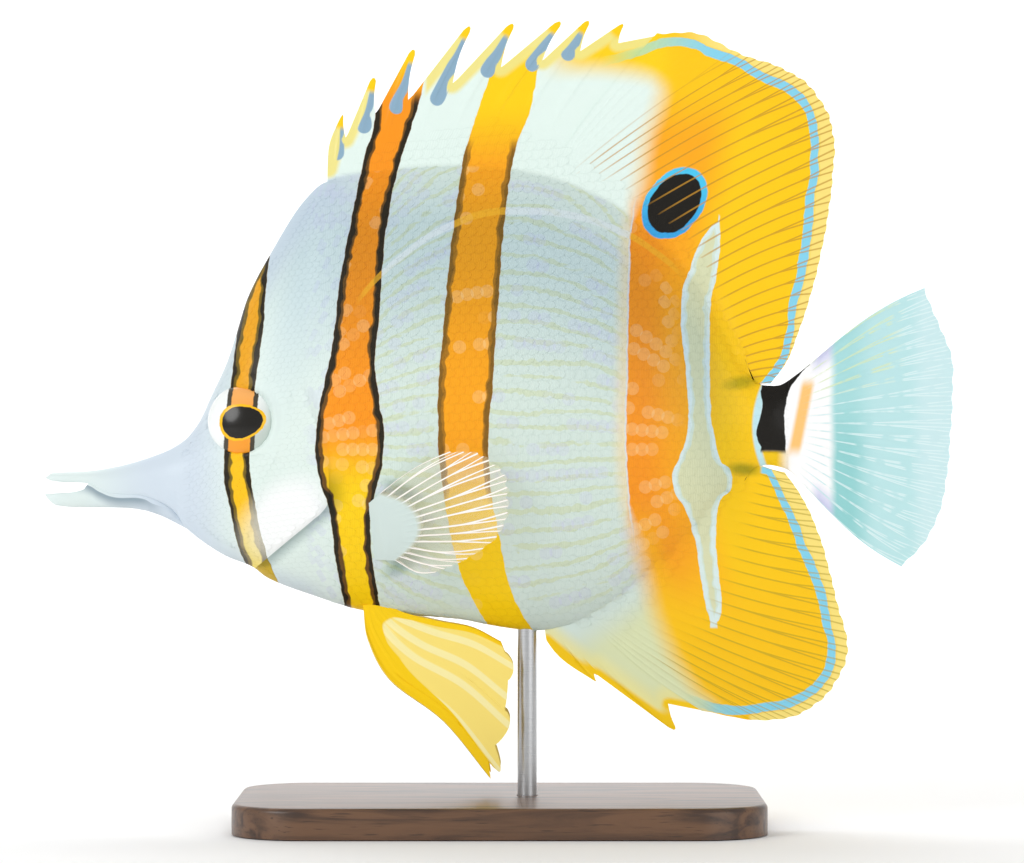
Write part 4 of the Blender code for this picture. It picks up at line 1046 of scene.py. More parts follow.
def relief(x, z):
    """How far the head's surface stands out or in: gill cover, cheek, rim of the eye, nostrils."""
    ahead = gill_edge(z) - x
    on_cover = smooth(z, -28.5, -25) * smooth(z, 7.5, 3)
    out = 0.6 * on_cover * smooth(ahead, -0.1, 0.3) * np.exp(-np.maximum(ahead, 0) / 9)
    out = out - 0.2 * on_cover * np.exp(-(((ahead + 0.8) / 0.8) ** 2))
    ahead = cheek_edge(z) - x
    out = out + 0.2 * on_cover * smooth(ahead, -0.25, 0.3) * np.exp(-np.maximum(ahead, 0) / 5)
    from_eye = np.hypot(x - EYE_CENTRE[0], z - EYE_CENTRE[2])
    out = out + 0.2 * np.exp(-(((from_eye - EYE_SHOWN - 0.7) / 0.5) ** 2))
    out = out - 0.15 * np.exp(-(((from_eye - EYE_SHOWN - 2.0) / 0.9) ** 2))
    out = out - 2.2 * smooth(from_eye, EYE_SHOWN + 0.1, EYE_SHOWN - 1.1)
    for nostril_x, nostril_z, radius in NOSTRILS:
        off = np.hypot(x - nostril_x, z - nostril_z) / radius
        out = out + 0.16 * np.exp(-(((off - 1.35) / 0.4) ** 2)) - 0.55 * smooth(off, 1.0, 0.3)
    return out


def body_stations(count):
    """Places along the body, closer together on the head than on the flanks."""
    share = np.linspace(0, 1, count)
    crowded = np.interp(share, (0, 0.42, 1), (0, 0.34, 1))
    return SNOUT_TIP + (TAIL_ROOT - SNOUT_TIP) * crowded


def ring_side(turn):
    """Which side of the fish a turn round a ring is on: the left first, then the right."""
    return -np.sign(np.round(np.sin(turn), 5))


def ring_piece(name, xs, ring, around):
    """A closed skin over a row of sections: a grid rolled into a tube and closed at its ends."""
    piece = grid(name, len(xs) - 1, around)
    across, share = shares_of(piece)
    x = np.interp(across, np.linspace(0, 1, len(xs)), xs)
    turn = 2 * np.pi * share
    place_points(piece, ring(x, turn))
    bpy.ops.object.mode_set(mode="EDIT")
    bpy.ops.mesh.select_all(action="SELECT")
    bpy.ops.mesh.remove_doubles(threshold=1e-6)
    bpy.ops.mesh.fill_holes(sides=0)
    bpy.ops.mesh.normals_make_consistent(inside=False)
    bpy.ops.object.mode_set(mode="OBJECT")
    piece.data.shade_smooth()
    return piece


def tail_closing(x):
    """The flesh narrows where it ends over the roots of the tail's rays."""
    return 0.62 + 0.38 * smooth(x, TAIL_ROOT + 0.5, TAIL_ROOT - 6.5)


def body_ring(x, turn):
    """A point of the whole body's section: up its left side and down its right."""
    climb = np.where(turn < np.pi, turn, 2 * np.pi - turn) - np.pi / 2
    wide, height = section(x, climb, COAT)
    wide = (wide + relief(x, height) * np.maximum(np.cos(climb), 0) ** 0.5) * tail_closing(x)
    return np.stack([x, ring_side(turn) * wide, height], axis=1)


def jaw_ring(x, turn):
    climb = np.where(turn < np.pi, turn, 2 * np.pi - turn) - np.pi / 2
    roof = np.where(x < -81, gape_floor(x), underside(x) + COAT + JAW_LAP)
    roof = roof + (underside(x) + COAT + JAW_LAP - roof) * smooth(x, -82.2, -81)
    low = chin(x) + 0.1
    middle = roof + 0.35 * (low - roof)
    wide = jaw_half_width(x) - 0.1
    upper = climb > 0
    edge = np.where(upper, 0.75, 0.25) * wide
    taper = np.where(upper, 0.6, 0.95)
    y = edge + (wide - edge) * np.maximum(np.cos(climb), 0) ** taper
    z = middle + np.where(upper, roof - middle, middle - low) * np.sin(climb)
    return np.stack([x, ring_side(turn) * y, z], axis=1)


def make_skin(finish):
    body = ring_piece("skin", body_stations(250), body_ring, 190)
    jaw = ring_piece("jaw", np.linspace(-90, JAW_END, 60), jaw_ring, 40)
    apply_modifier(body, "BOOLEAN", operation="UNION", object=jaw, solver="MANIFOLD")
    bpy.data.objects.remove(jaw)
    body.data.shade_smooth()
    nodes = ("head", "upper_jaw", "lower_jaw", "gill_cover_left", "gill_cover_right", "torso", "tail_base")
    return done(body, finish, nodes)


def fin_foot(x, line, outward):
    """A fin's root at x along the body's back or belly line, sunk into the body."""
    slope = (line(x + 0.2) - line(x - 0.2)) / 0.4
    length = np.hypot(slope, 1)
    return np.stack([x + slope / length * SINK * outward, line(x) - SINK * outward / length], axis=1)


def swept(foot, tip, share, outward):
    """Points of rays that curve a little towards the head, from root to tip."""
    bow = FIN_RAY_BOW * np.minimum(np.linalg.norm(tip - foot, axis=1) / FULL_BOW_LENGTH, 1)
    bow = bow * np.sin(np.pi * share)
    flat = foot + (tip - foot) * share[:, None]
    return np.stack([flat[:, 0] - 0.4 * bow, 0 * share, flat[:, 1] + bow * outward], axis=1)


def web_half(x, height, line, edge, outward):
    """Half a median fin's thickness: as thick as the body's edge at its root, and soon thin."""
    outside = np.maximum((height - line(x)) * outward, 0)
    return FIN_HALF + (edge(x) - COAT - 0.05 - FIN_HALF) * np.exp(-((outside / FIN_BASE_REACH) ** 1.5))


def raised(number, share, forks):
    """1 on a ray or a branch of it, and 0 halfway to the next."""
    off = np.abs(number - np.round(number))
    spread = 0.25
    for fork in forks:
        off = np.abs(off - spread * np.clip((share - fork) / (1 - fork), 0, 1))
        spread /= 2
    return np.exp(-((off / 0.16) ** 2))


def ragged(number, share, depth):
    """How far a fin's margin draws back between its rays, a little unevenly from ray to ray."""
    between = (1 - np.cos(2 * np.pi * number)) / 2
    uneven = 0.5 * np.sin(2.3 * number) + 0.5 * np.sin(0.9 * number + 1)
    return 1 - depth * (between + 0.8 * (1 + uneven) / 2) * smooth(share, 0.6, 1)


def soft_fin_shape(keys, count, line, edge, outward):
    roots = np.array([(root, 0.0) for root, _ in keys])
    tips = [tip for _, tip in keys]

    def shape(across, share):
        root = through(roots, across)[:, 0]
        foot, tip = fin_foot(root, line, outward), through(tips, across)
        number = across * count
        on_ray = raised(number, share, (0.72,))
        points = swept(foot, tip, share * ragged(number, share, 0.007), outward)
        web = web_half(points[:, 0], points[:, 2], line, edge, outward)
        half = web + 0.13 * on_ray * smooth(share, 0.12, 0.4) * (1 - 0.5 * share)
        return points, half

    return shape


def spiny_fin_shape(spines, line, edge, outward, front):
    """The spiny fin's sheet, and how near each point is to its margin and its spines."""
    roots = np.array([spine[0] for spine in spines], float)
    tips = np.array([spine[1] for spine in spines], float)
    notches = np.array([spine[2] for spine in spines], float)
    bare_from = np.array([spine[3] for spine in spines], float)
    gaps = len(spines) - 1
    lead = 0.35  # the front web's share of a gap, ahead of the first spine

    directions = tips - fin_foot(roots, line, outward)
    directions /= np.linalg.norm(directions, axis=1, keepdims=True)
    rearward = np.stack([directions[:, 1], -directions[:, 0]], axis=1) * outward
    free = np.linalg.norm(tips - notches, axis=1, keepdims=True)
    tip_half = np.minimum(SPINE_TIP_HALF, 0.07 * free)
    hollow = SPINE_HOLLOW * free

    def places(across):
        even = across * (gaps + lead) - lead
        number = even - 0.75 * np.sin(2 * np.pi * even) / (2 * np.pi)
        i = np.clip(np.floor(number).astype(int), 0, gaps - 1)
        part = np.clip(number - i, 0, 1)
        return even, i, part

    def shape(across, share):
        number, i, part = places(across)
        fall = np.clip(part / 0.35, 0, 1)[:, None]
        climb = np.clip((part - 0.35) / 0.65, 0, 1)[:, None]
        last = (i == gaps - 1)[:, None]
        blunt_rear = rearward[i] * tip_half[i] * np.sqrt(np.clip(fall * 10, 0, 1)) * (1 - fall)
        blunt_rear = blunt_rear - rearward[i] * hollow[i] * np.sin(np.pi * fall)
        blunt_front = rearward[i + 1] * tip_half[i + 1] * np.sqrt(np.clip((1 - climb) * 14, 0, 1))
        top = np.where(
            part[:, None] < 0.35,
            tips[i] + (notches[i] - tips[i]) * fall + blunt_rear,
            notches[i] + (tips[i + 1] - notches[i]) * climb - blunt_front * climb * ~last,
        )
        root = roots[i] + (roots[i + 1] - roots[i]) * part
        ahead = np.clip(-number / lead, 0, 1)
        root = root - 1.2 * ahead
        top = top + (np.array(front) - top) * (ahead**0.8)[:, None]
        top = top + np.array([-0.9, 0.4 * outward]) * np.sin(np.pi * ahead)[:, None]
        foot = fin_foot(root, line, outward)
        points = swept(foot, top, share, outward)
        nearness = np.exp(-((np.minimum(part, 1 - part) / 0.13) ** 2)) * (ahead == 0)
        web = web_half(points[:, 0], points[:, 2], line, edge, outward)
        half = web + 0.34 * nearness * (i + part < gaps - 0.5) * (1 - share) ** 0.5 * smooth(share, 0.25, 0.6)
        half = half - 0.07 * smooth(i + part, gaps - 0.3, gaps - 0.1)
        return points, half

    def attributes(across, share, points):
        number, i, part = places(across)
        flat = points[:, [0, 2]]
        starts = np.vstack([[front], notches[:-1]])
        way = tips - starts
        spot = flat[:, None, :] - starts
        run = np.clip((spot * way).sum(axis=2) / (way**2).sum(axis=1), 0, 1)
        from_front = np.linalg.norm(spot - run[..., None] * way, axis=2).min(axis=1)
        nearest = np.where(part < 0.5, i, i + 1)
        from_tip = np.linalg.norm(flat - tips[nearest], axis=1)

        foot = fin_foot(roots[nearest], line, outward)
        axis = tips[nearest] - foot
        length = np.linalg.norm(axis, axis=1)
        spot = flat - foot
        along = (spot * axis).sum(axis=1) / length
        aside = np.abs(spot[:, 0] * axis[:, 1] - spot[:, 1] * axis[:, 0]) / length
        begin = bare_from[nearest] * length
        run = np.clip((along - begin) / np.maximum(0.93 * length - begin, 0.1), 0, 1)
        wide = 1.2 * (1 - run) ** 0.7 + 0.3
        bare = np.hypot(aside, np.maximum(begin - along, 0)) - wide
        bare = np.maximum(bare, 0.2 + 1.0 * smooth(from_tip, 1, 8) - from_front)
        bare = np.where(bare_from[nearest] < 1, bare, 9.0)
        return {"bare_spine": bare, "from_front": from_front, "from_tip": from_tip}

    return shape, attributes


def tail_shape(across, share):
    root_x = TAIL_ROOT - 3.0
    top, bottom = back(root_x) - 0.4, underside(root_x) + 0.4
    z = top + (bottom - top) * across
    tip = through(TAIL_TIPS, across)
    number = across * TAIL_RAY_COUNT
    on_ray = raised(number, share, (0.3, 0.62))
    s = share * ragged(number, share, 0.008)
    x = root_x + (tip[:, 0] - root_x) * s
    height = z + (tip[:, 1] - z) * s + 1.9 * np.sin(np.pi * s**1.25) * (1 - 2 * across)
    turn = np.arcsin(np.clip((z + 1.2) / 11.1, -1, 1))
    root_half = section(np.full_like(z, TAIL_ROOT), turn)[0] - 0.4
    web = np.maximum(0.15 + root_half * (1 - share) ** 3, 0.15)
    edge_ray = 0.25 * np.exp(-((np.minimum(across, 1 - across) / 0.02) ** 2))
    half = web + (0.17 * on_ray + edge_ray) * smooth(share, 0.06, 0.2) * (1 - 0.5 * share)
    return np.stack([x, 0 * x, height], axis=1), half


def breast_fin_shape(side):
    def shape(across, share):
        root = through(BREAST_ROOTS, across)
        start = through(BREAST_RAY_STARTS, across)
        tip = through(BREAST_TIPS, across)
        number = across * BREAST_RAY_COUNT
        s = share * ragged(number, share, 0.025)
        low = np.clip(s / 0.28, 0, 1)[:, None]
        high = np.clip((s - 0.28) / 0.72, 0, 1)[:, None]
        flat = root + (start - root) * low + (tip - start) * high
        bow = 1.5 * (0.45 - across) + 0.25 * np.sin(2.1 * number)
        flat = flat + np.array([-0.35, 1.0]) * (bow[:, None] * np.sin(np.pi * high))
        away = np.linalg.norm(flat - root, axis=1)
        axis = widest(root[:, 0])
        turn = np.arcsin(np.clip((root[:, 1] - axis) / (axis - underside(root[:, 0])), -1, 1))
        wide = section(root[:, 0], turn)[0]
        y = wide - 1.0 - 0.9 * smooth(away, 3.5, 0) + math.tan(BREAST_FLARE) * away - 0.006 * away**2
        y = y + 0.9 * np.sin(np.pi * across) * away / 24
        on_ray = raised(number, np.clip((share - 0.28) / 0.72, 0, 1), (0.55,))
        web = 0.11 + 1.15 * (1 - np.clip(share / 0.42, 0, 1)) ** 1.2
        half = web + 0.17 * on_ray * smooth(share, 0.2, 0.4) * (1 - 0.4 * share)
        return np.stack([flat[:, 0], side * y, flat[:, 1]], axis=1), half

    def attributes(across, share, points):
        middle = 0.29 + 0.05 * np.sin(np.pi * across)
        return {"flesh": smooth(share, middle + 0.03, middle - 0.03)}

    return shape, attributes


def belly_fin_shape(side):
    tips, notches = np.array(BELLY_FIN_TIPS, float), np.array(BELLY_FIN_NOTCHES, float)
    spans = len(tips) - 1
    before = np.vstack([2 * tips[0] - notches[0], notches])
    after = np.vstack([notches, 2 * tips[-1] - notches[-1]])
    ends = np.array(BELLY_FIN_FRONT[-1]), np.array(BELLY_FIN_REAR[-1])

    def shape(across, share):
        number = across * spans
        i = np.round(number).astype(int)
        part = (number - i + 0.5)[:, None]
        lobe = tips[i] - (before[i] + after[i]) / 2
        dip = before[i] + (after[i] - before[i]) * part + lobe * np.sin(np.pi * part) ** 0.7
        front, rear = through(BELLY_FIN_FRONT, share), through(BELLY_FIN_REAR, share)
        plain_end = ends[0] + (ends[1] - ends[0]) * across[:, None]
        flat = front + (rear - front) * across[:, None] + (dip - plain_end) * (share**2)[:, None]
        depth = np.maximum(0, -37.0 - flat[:, 1])
        y = BELLY_FIN_ROOT_SIDE + BELLY_FIN_SPLAY * depth - 1.2 * across * share
        y = y + 0.7 * np.sin(np.pi * share) * (1 - across)
        on_ray = raised(number, share, (0.35, 0.7))
        spine = np.exp(-((across / 0.03) ** 2))
        web = 0.15 + 1.1 * (1 - share) ** 2.6
        half = web + (0.1 * on_ray + 0.5 * spine) * (1 - share) ** 0.4 * smooth(share, 0.0, 0.3)
        return np.stack([flat[:, 0], side * y, flat[:, 1]], axis=1), half

    return shape


def make_fins(finish):
    def fin_done(piece, name, node_name):
        return done(piece, finish[name], (node_name,))

    shape, attributes = spiny_fin_shape(BACK_SPINES, back, back_edge, 1, (-33.9, 49.5))
    fin_done(sheet("dorsal_spines", 200, 48, shape, attributes), "spiny", "dorsal_fin_spiny")
    shape = soft_fin_shape(BACK_RAYS, BACK_RAY_COUNT, back, back_edge, 1)
    piece = sheet("dorsal_rays", 8 * BACK_RAY_COUNT, 44, shape, rays=BACK_RAY_COUNT)
    fin_done(piece, "back_rays", "dorsal_fin_soft")
    shape, attributes = spiny_fin_shape(ANAL_SPINES, underside, belly_edge, -1, (9.2, -43.8))
    fin_done(sheet("anal_spines", 48, 36, shape, attributes), "anal_spiny", "anal_fin_spiny")
    shape = soft_fin_shape(ANAL_RAYS, ANAL_RAY_COUNT, underside, belly_edge, -1)
    piece = sheet("anal_rays", 8 * ANAL_RAY_COUNT, 44, shape, rays=ANAL_RAY_COUNT)
    fin_done(piece, "anal_rays", "anal_fin_soft")
    piece = sheet("tail", 10 * TAIL_RAY_COUNT, 48, tail_shape, rays=TAIL_RAY_COUNT)
    fin_done(piece, "tail", "tail_fin")
    for side, word in ((-1, "left"), (1, "right")):
        shape, attributes = breast_fin_shape(side)
        piece = sheet(
            "breast_fin_" + word, 10 * BREAST_RAY_COUNT, 48, shape, attributes, BREAST_RAY_COUNT
        )
        fin_done(piece, "breast", "pectoral_fin_" + word)
        belly_rays = len(BELLY_FIN_TIPS) - 1
        piece = sheet("belly_fin_" + word, 14 * belly_rays, 44, belly_fin_shape(side), rays=belly_rays)
        fin_done(piece, "belly", "pelvic_fin_" + word)


# Scales


def side_table(stations=300, steps=120):
    """The body's side as a table by place along it and by share of the way from its widest
    line down to the belly (-1) or up to the back (1), with the length of both ways."""
    xs = np.linspace(SNOUT_TIP + 2, TAIL_ROOT, stations)
    turn = np.linspace(-np.pi / 2, np.pi / 2, 2 * steps + 1)
    wide, height = section(xs[:, None], turn[None, :], COAT)
    wide = wide * tail_closing(xs)[:, None]
    run = np.hypot(np.diff(wide, axis=1), np.diff(height, axis=1))
    run = np.concatenate([np.zeros((stations, 1)), np.cumsum(run, axis=1)], axis=1)
    run = run - run[:, steps : steps + 1]
    share = np.linspace(-1, 1, 2 * steps + 1)
    even_wide, even_height = np.empty_like(wide), np.empty_like(height)
    for i in range(stations):
        target = np.where(share > 0, share * run[i, -1], -share * run[i, 0])
        even_wide[i] = np.interp(target, run[i], wide[i])
        even_height[i] = np.interp(target, run[i], height[i])
    return xs, even_wide, even_height, run[:, -1], -run[:, 0]


side_x, side_wide, side_height, side_up, side_down = side_table()


def on_side(x, s):
    """A point of the skin x along and s millimetres round from its widest line, for the left
    side seen as positive width. Past the back or belly it climbs the fin that stands there."""
    up, down = np.interp(x, side_x, side_up), np.interp(x, side_x, side_down)
    share = np.clip(np.where(s > 0, s / up, s / down), -1, 1)
    half = (side_wide.shape[1] - 1) / 2
    column = (share + 1) * half
    row = np.clip((x - side_x[0]) / (side_x[1] - side_x[0]), 0, len(side_x) - 1.001)
    i, j = row.astype(int), np.minimum(column.astype(int), side_wide.shape[1] - 2)
    p, q = row - i, column - j

    def mixed(table):
        near = table[i, j] * (1 - q) + table[i, j + 1] * q
        far = table[i + 1, j] * (1 - q) + table[i + 1, j + 1] * q
        return near * (1 - p) + far * p

    wide, height = mixed(side_wide), mixed(side_height)
    past = np.where(s > 0, s - up, -s - down)
    outside = np.maximum(past, 0)
    height = height + np.where(s > 0, 1, -1) * outside
    on_back = web_half(x, back(x) + outside, back, back_edge, 1)
    on_belly = web_half(x, underside(x) - outside, underside, belly_edge, -1)
    wide = np.where(past > 0, np.where(s > 0, on_back, on_belly) + 0.04, wide)
    wide = wide + relief(x, height) * (past < -4)
    return np.stack([x, wide, height], axis=-1)


SCALE_ALONG = (0.0, 0.62, 1.0)
SCALE_ACROSS = (-1.0, -0.55, 0.0, 0.55, 1.0)


def scale_template():
    """One scale's points (along, across, height above the skin) and faces: a thin closed plate
    with a rounded rear edge that stands a little off the next scale."""
    top = []
    for a in SCALE_ALONG:
        for b in SCALE_ACROSS:
            rounding = 0.36 * b * b * a
            width = 0.82 + 0.18 * math.sin(math.pi * min(a * 1.25, 1.0))
            top.append((a - rounding, b * width, 0.05 + 0.95 * a - 0.25 * b * b))
    under = [(a, b, h - 0.55) for a, b, h in top]
    rows, columns = len(SCALE_ALONG), len(SCALE_ACROSS)
    faces = []
    for r in range(rows - 1):
        for c in range(columns - 1):
            at = r * columns + c
            faces.append((at, at + columns, at + columns + 1, at + 1))
    rim = list(range(columns)) + [r * columns + columns - 1 for r in range(1, rows)]
    rim += [(rows - 1) * columns + c for c in range(columns - 2, -1, -1)]
    rim += [r * columns for r in range(rows - 2, 0, -1)]
    count = len(top)
    for a, b in zip(rim, rim[1:] + rim[:1]):
        faces.append((a, b, b + count, a + count))
    faces.append(tuple(i + count for i in rim))
    return np.array(top + under), faces


def scale_rows(rng, start, end, pitch, row, size):
    """Scales in rows that alternate, as far up and down as any could grow: place along, place
    round, length, half width and height."""
    rows = []
    for j in range(-round(70 / row), round(80 / row)):
        x = np.arange(start + pitch / 2 * (j % 2), end, pitch)
        x = x + rng.uniform(-0.05, 0.05, x.shape) * pitch
        s = j * row + rng.uniform(-0.04, 0.04, x.shape)
        rows.append(np.stack([x, s, *(np.full_like(x, value) for value in size)], axis=1))
    return np.concatenate(rows)


def scale_places(rng):
    """Where scales grow on one side: all over the flank and the fins' bases, and finer on the
    head, clear of the eye and of the gill cover's rear edge."""
    flank = scale_rows(rng, -36.5, TAIL_ROOT - 1.5, 2.05, 1.75, (3.3, 1.25, 0.1))
    x, s = flank[:, 0], flank[:, 1]
    past = np.where(s > 0, s - np.interp(x, side_x, side_up), -s - np.interp(x, side_x, side_down))
    up_fin = np.interp(x, (-34, -28, -10, 4, 14, 34, 46), (0.5, 5, 9, 9, 5, 5, 0))
    down_fin = np.interp(x, (14, 22, 35, 49), (0, 5, 4, 0))
    reach = np.where(s > 0, up_fin, down_fin)
    flank[:, 2:4] *= (1 - 0.4 * np.clip(past / 18, 0, 1))[:, None]
    flank[:, 4] *= 1 - 0.55 * np.clip(past / 6, 0, 1)
    flank = flank[(past < 0) | (past < reach - rng.uniform(0, 3, x.shape))]
    head = scale_rows(rng, -63, -36.6, 1.35, 1.15, (2.1, 0.8, 0.055))
    x, s = head[:, 0], head[:, 1]
    inside = (s < np.interp(x, side_x, side_up) - 0.4) & (-s < np.interp(x, side_x, side_down) - 0.4)
    head = head[inside]
    found = np.concatenate([head, flank])
    at = on_side(found[:, 0], found[:, 1])
    clear = np.hypot(at[:, 0] - EYE_CENTRE[0], at[:, 2] - EYE_CENTRE[2]) > EYE_SHOWN + 1.4
    ahead = gill_edge(at[:, 2]) - at[:, 0]
    on_edge = (ahead > -0.3) & (ahead < found[:, 2] + 0.2) & (at[:, 2] > -28) & (at[:, 2] < 6)
    return found[clear & ~on_edge]


def make_scales(side, word, finish, rng):
    spots = scale_places(rng)
    template, faces = scale_template()
    x, s = spots[:, 0:1], spots[:, 1:2]
    up = np.interp(x, side_x, side_up)
    past_back = np.clip((s - up) / 12, 0, 1)
    past_belly = np.clip((-s - np.interp(x, side_x, side_down)) / 10, 0, 1)
    lean = np.radians(32) * past_back - np.radians(32) * past_belly + rng.normal(0, 0.04, x.shape)
    a, b = template[None, :, 0] * spots[:, 2:3], template[None, :, 1] * spots[:, 3:4]
    along = x + a * np.cos(lean) - b * np.sin(lean)
    round_ = s + a * np.sin(lean) + b * np.cos(lean)
    along = np.clip(along, SNOUT_TIP + 2.1, TAIL_ROOT - 0.1)
    on_fins = np.where(along < 49, 60, 0)
    top = np.interp(along, side_x, side_up) + np.where(along > -33.5, on_fins, 0)
    bottom = np.interp(along, side_x, side_down) + np.where(along > 15, on_fins, 0)
    round_ = np.clip(round_, -bottom, top)
    skin = on_side(along, round_)
    step = 0.25
    forward = on_side(along + step, round_) - on_side(along - step, round_)
    upward = on_side(along, round_ + step) - on_side(along, round_ - step)
    normal = np.cross(upward, forward)
    normal /= np.linalg.norm(normal, axis=-1, keepdims=True)
    lifted = skin + normal * (template[None, :, 2:3] * spots[:, 4][:, None, None])
    lifted[..., 1] *= side
    if side > 0:
        faces = [tuple(reversed(face)) for face in faces]
    count = len(template)
    all_faces = [tuple(i * count + v for v in face) for i in range(len(spots)) for face in faces]
    mesh = bpy.data.meshes.new("scales_" + word)
    points = (lifted.reshape(-1, 3) + (0, 0, AXIS_HEIGHT)) * MM
    mesh.from_pydata(points.tolist(), [], all_faces)
    corners = np.empty(len(mesh.loops), np.int32)
    mesh.loops.foreach_get("vertex_index", corners)
    mesh.uv_layers.new(name="scale")
    flat = np.tile(template[:, :2], (len(spots), 1))[corners]
    mesh.uv_layers["scale"].data.foreach_set("uv", flat.astype(np.float32).ravel())
    mesh.uv_layers.new(name="OFBake")
    root = np.stack(
        [(spots[:, 0] + 92) / 155, (0.25 if side < 0 else 0.75) + spots[:, 1] / 300], axis=1
    )
    patch = 0.003
    local = (template[:, :2] - (0.5, 0)) * (patch, patch / 2)
    laid = (root[:, None, :] + local[None, :, :]).reshape(-1, 2)[corners]
    mesh.uv_layers["OFBake"].data.foreach_set("uv", laid.astype(np.float32).ravel())
    piece = bpy.data.objects.new("scales_" + word, mesh)
    bpy.context.collection.objects.link(piece)
    mesh.shade_smooth()
    mesh.set_sharp_from_angle(angle=math.radians(50))
    return done(piece, finish)


def make_eyes(finish):
    for side, word in ((-1, "left"), (1, "right")):
        x, y, z = EYE_CENTRE
        bpy.ops.mesh.primitive_uv_sphere_add(segments=96, ring_count=64, radius=1)
        ball = bpy.context.object
        ball.name = "eyeball_" + word
        ball.data.name = ball.name
        ball.scale = (EYE_RADIUS * MM, EYE_RADIUS * MM, EYE_DEPTH * MM)
        aim = Vector((-math.sin(EYE_YAW), side * math.cos(EYE_YAW), math.sin(EYE_PITCH)))
        ball.rotation_euler = aim.to_track_quat("Z", "Y").to_euler()
        ball.location = (x * MM, side * y * MM, (z + AXIS_HEIGHT) * MM)
        bpy.ops.object.transform_apply()
        ball.data.shade_smooth()
        done(ball, finish, ("eye_" + word,))


def select_edges(piece, wanted):
    """Selects, in edit mode, the edges whose two ends fit a test, given in millimetres."""
    bpy.ops.object.mode_set(mode="OBJECT")
    for part in (piece.data.vertices, piece.data.edges, piece.data.polygons):
        part.foreach_set("select", np.zeros(len(part), bool))
    points = [v.co / MM for v in piece.data.vertices]
    for edge in piece.data.edges:
        edge.select = wanted(*(points[i] for i in edge.vertices))
    bpy.ops.object.mode_set(mode="EDIT")


def make_base(finish):
    """The base: a board with round corners and softened edges, drilled for the rod."""
    low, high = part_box("stand_base")
    bpy.ops.mesh.primitive_cube_add(size=1, location=(low + high) / 2)
    base = bpy.context.object
    base.name = "walnut_base"
    base.data.name = base.name
    base.scale = high - low
    bpy.ops.object.transform_apply()
    bpy.ops.object.mode_set(mode="EDIT")
    bpy.ops.mesh.select_mode(type="EDGE")
    select_edges(base, lambda a, b: abs(a.z - b.z) > 1)
    bpy.ops.mesh.bevel(offset=BASE_CORNER * MM, segments=24)
    top = high.z / MM
    select_edges(base, lambda a, b: min(a.z, b.z) > top - 0.01)
    bpy.ops.mesh.bevel(offset=BASE_BEVEL * MM, segments=6)
    bpy.ops.object.mode_set(mode="OBJECT")
    bpy.ops.mesh.primitive_cylinder_add(
        vertices=48, radius=(ROD_RADIUS + 0.25) * MM, depth=6 * MM,
        location=(ROD_AT * MM, 0, (top + 0.5) * MM),
    )
    drill = bpy.context.object
    bpy.context.view_layer.objects.active = base
    apply_modifier(base, "BOOLEAN", operation="DIFFERENCE", object=drill)
    bpy.data.objects.remove(drill)
    base.data.shade_smooth()
    base.data.set_sharp_from_angle(angle=math.radians(35))
    return done(base, finish, ("stand_base",))


def make_rod(finish):
    low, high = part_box("stand_rod")
    bpy.ops.mesh.primitive_cylinder_add(
        vertices=64, radius=ROD_RADIUS * MM, depth=high.z - low.z, location=(low + high) / 2
    )
    rod = bpy.context.object
    rod.name = "steel_rod"
    rod.data.name = rod.name
    bpy.ops.object.transform_apply()
    rod.data.shade_smooth()
    rod.data.set_sharp_from_angle(angle=math.radians(35))
    return done(rod, finish, ("stand_rod",))


SWEEP_START = 1.2
SWEEP_RADIUS = 0.7


def make_floor():
    """A pale seamless floor that curves up into a backdrop on the far side."""
    made, tree, shader = finish_named("white_paper", Roughness=0.9)
    shader.inputs["Base Color"].default_value = linear("FAFAFA")
    bpy.ops.mesh.primitive_plane_add(size=1)
    floor = bpy.context.object
    floor.name = "floor"
    floor.scale = (5, 6, 1)
    floor.location = (0, SWEEP_START - 3, -0.0002)
    bpy.ops.object.transform_apply()
    bpy.ops.object.mode_set(mode="EDIT")
    bpy.ops.mesh.select_mode(type="EDGE")
    select_edges(floor, lambda a, b: min(a.y, b.y) > 0)
    bpy.ops.mesh.spin(
        steps=24, angle=-math.pi / 2, center=(0, SWEEP_START, SWEEP_RADIUS), axis=(1, 0, 0)
    )
    bpy.ops.mesh.extrude_region_move(TRANSFORM_OT_translate={"value": (0, 0, 1.5)})
    bpy.ops.object.mode_set(mode="OBJECT")
    floor.data.shade_smooth()
    floor.data.materials.append(made)
    floor.select_set(False)


def light(name, size, power, place, aim):
    lamp = bpy.data.lights.new(name, "AREA")
    lamp.shape = "DISK"
    lamp.size = size
    lamp.energy = power
    made = bpy.data.objects.new(name, lamp)
    made.location = place
    made.rotation_euler = (Vector(aim) - Vector(place)).to_track_quat("-Z", "Y").to_euler()
    bpy.context.collection.objects.link(made)


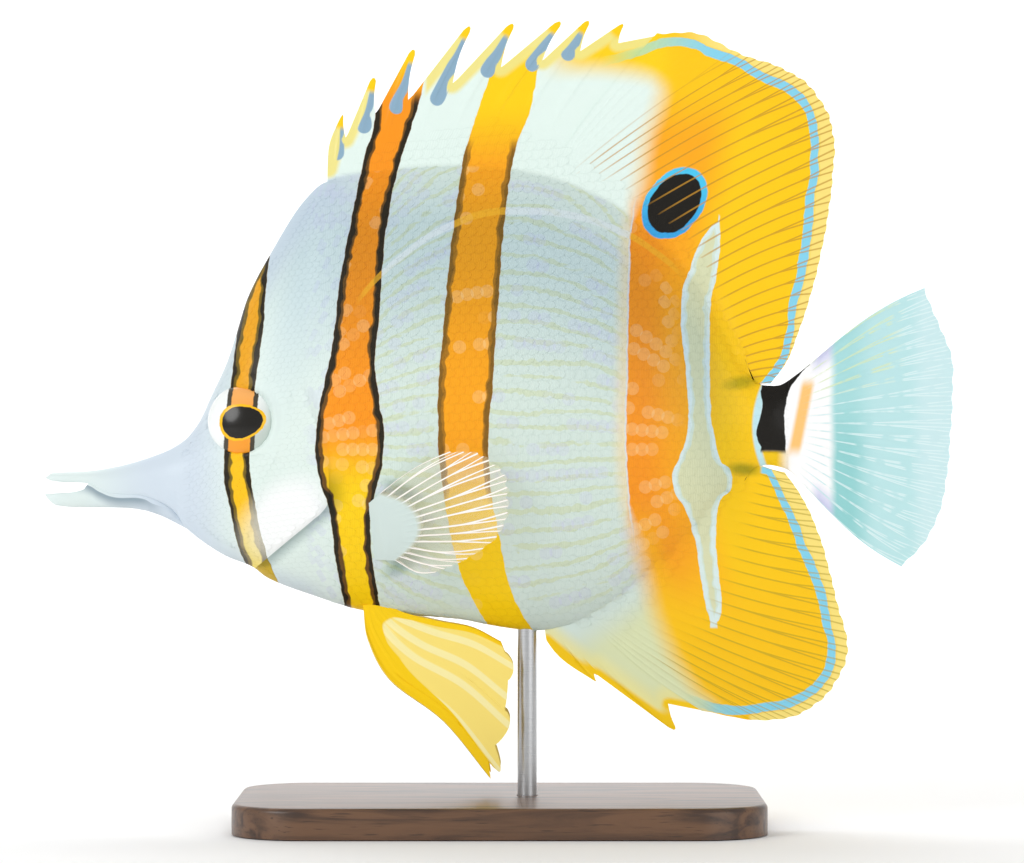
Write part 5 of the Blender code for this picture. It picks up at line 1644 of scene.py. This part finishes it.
def make_studio():
    world = bpy.data.worlds.new("studio")
    world.use_nodes = True
    world.node_tree.nodes["Background"].inputs["Color"].default_value = (1, 1, 1, 1)
    world.node_tree.nodes["Background"].inputs["Strength"].default_value = 0.65
    bpy.context.scene.world = world
    middle = (0, 0, 0.08)
    light("key", 0.5, 3.7, (-0.75, -0.75, 0.45), middle)
    light("fill", 0.8, 2.4, (0.75, -0.85, 0.12), middle)
    light("backdrop", 1.4, 17.0, (0, 0.9, 1.4), (0, 1.7, 0.2))
    bpy.context.scene.view_settings.view_transform = "Standard"


CAMERA_DISTANCE = 0.845
CAMERA_LENS = 150.0
CAMERA_ACROSS = 2.4
CAMERA_HEIGHT = 78.0


def make_camera():
    data = bpy.data.cameras.new("camera")
    data.lens = CAMERA_LENS
    camera = bpy.data.objects.new("camera", data)
    camera.location = (CAMERA_ACROSS * MM, -CAMERA_DISTANCE, CAMERA_HEIGHT * MM)
    camera.rotation_euler = (math.pi / 2, 0, 0)
    bpy.context.collection.objects.link(camera)
    bpy.context.scene.camera = camera


def main():
    make_camera()
    make_studio()
    make_floor()
    skin, scales = skin_finish(), scale_finish()
    fins = {
        "spiny": spiny_finish(),
        "anal_spiny": anal_spiny_finish(),
        "back_rays": fin_finish(
            "back_fin", body_colour, BACK_RAY_COUNT, (0.6,), "C08C2C", 0.7, 0.16, 0.06, 0.13
        ),
        "anal_rays": fin_finish(
            "anal_fin", body_colour, ANAL_RAY_COUNT, (0.5,), "B39A28", 0.6, 0.15, 0.3, 0.06
        ),
        "tail": fin_finish(
            "tail_fin", tail_colour, TAIL_RAY_COUNT, (0.15, 0.4), tail_line_colour, 0.75, 0.12, 0.06,
            broken=1.0,
        ),
        "breast": breast_fin_finish(),
        "belly": belly_fin_finish(),
    }
    make_skin(skin)
    make_fins(fins)
    rng = np.random.default_rng(7)
    make_scales(-1, "left", scales, rng)
    make_scales(1, "right", scales, rng)
    make_eyes(eye_finish())
    make_base(walnut_finish())
    make_rod(steel_finish())


main()
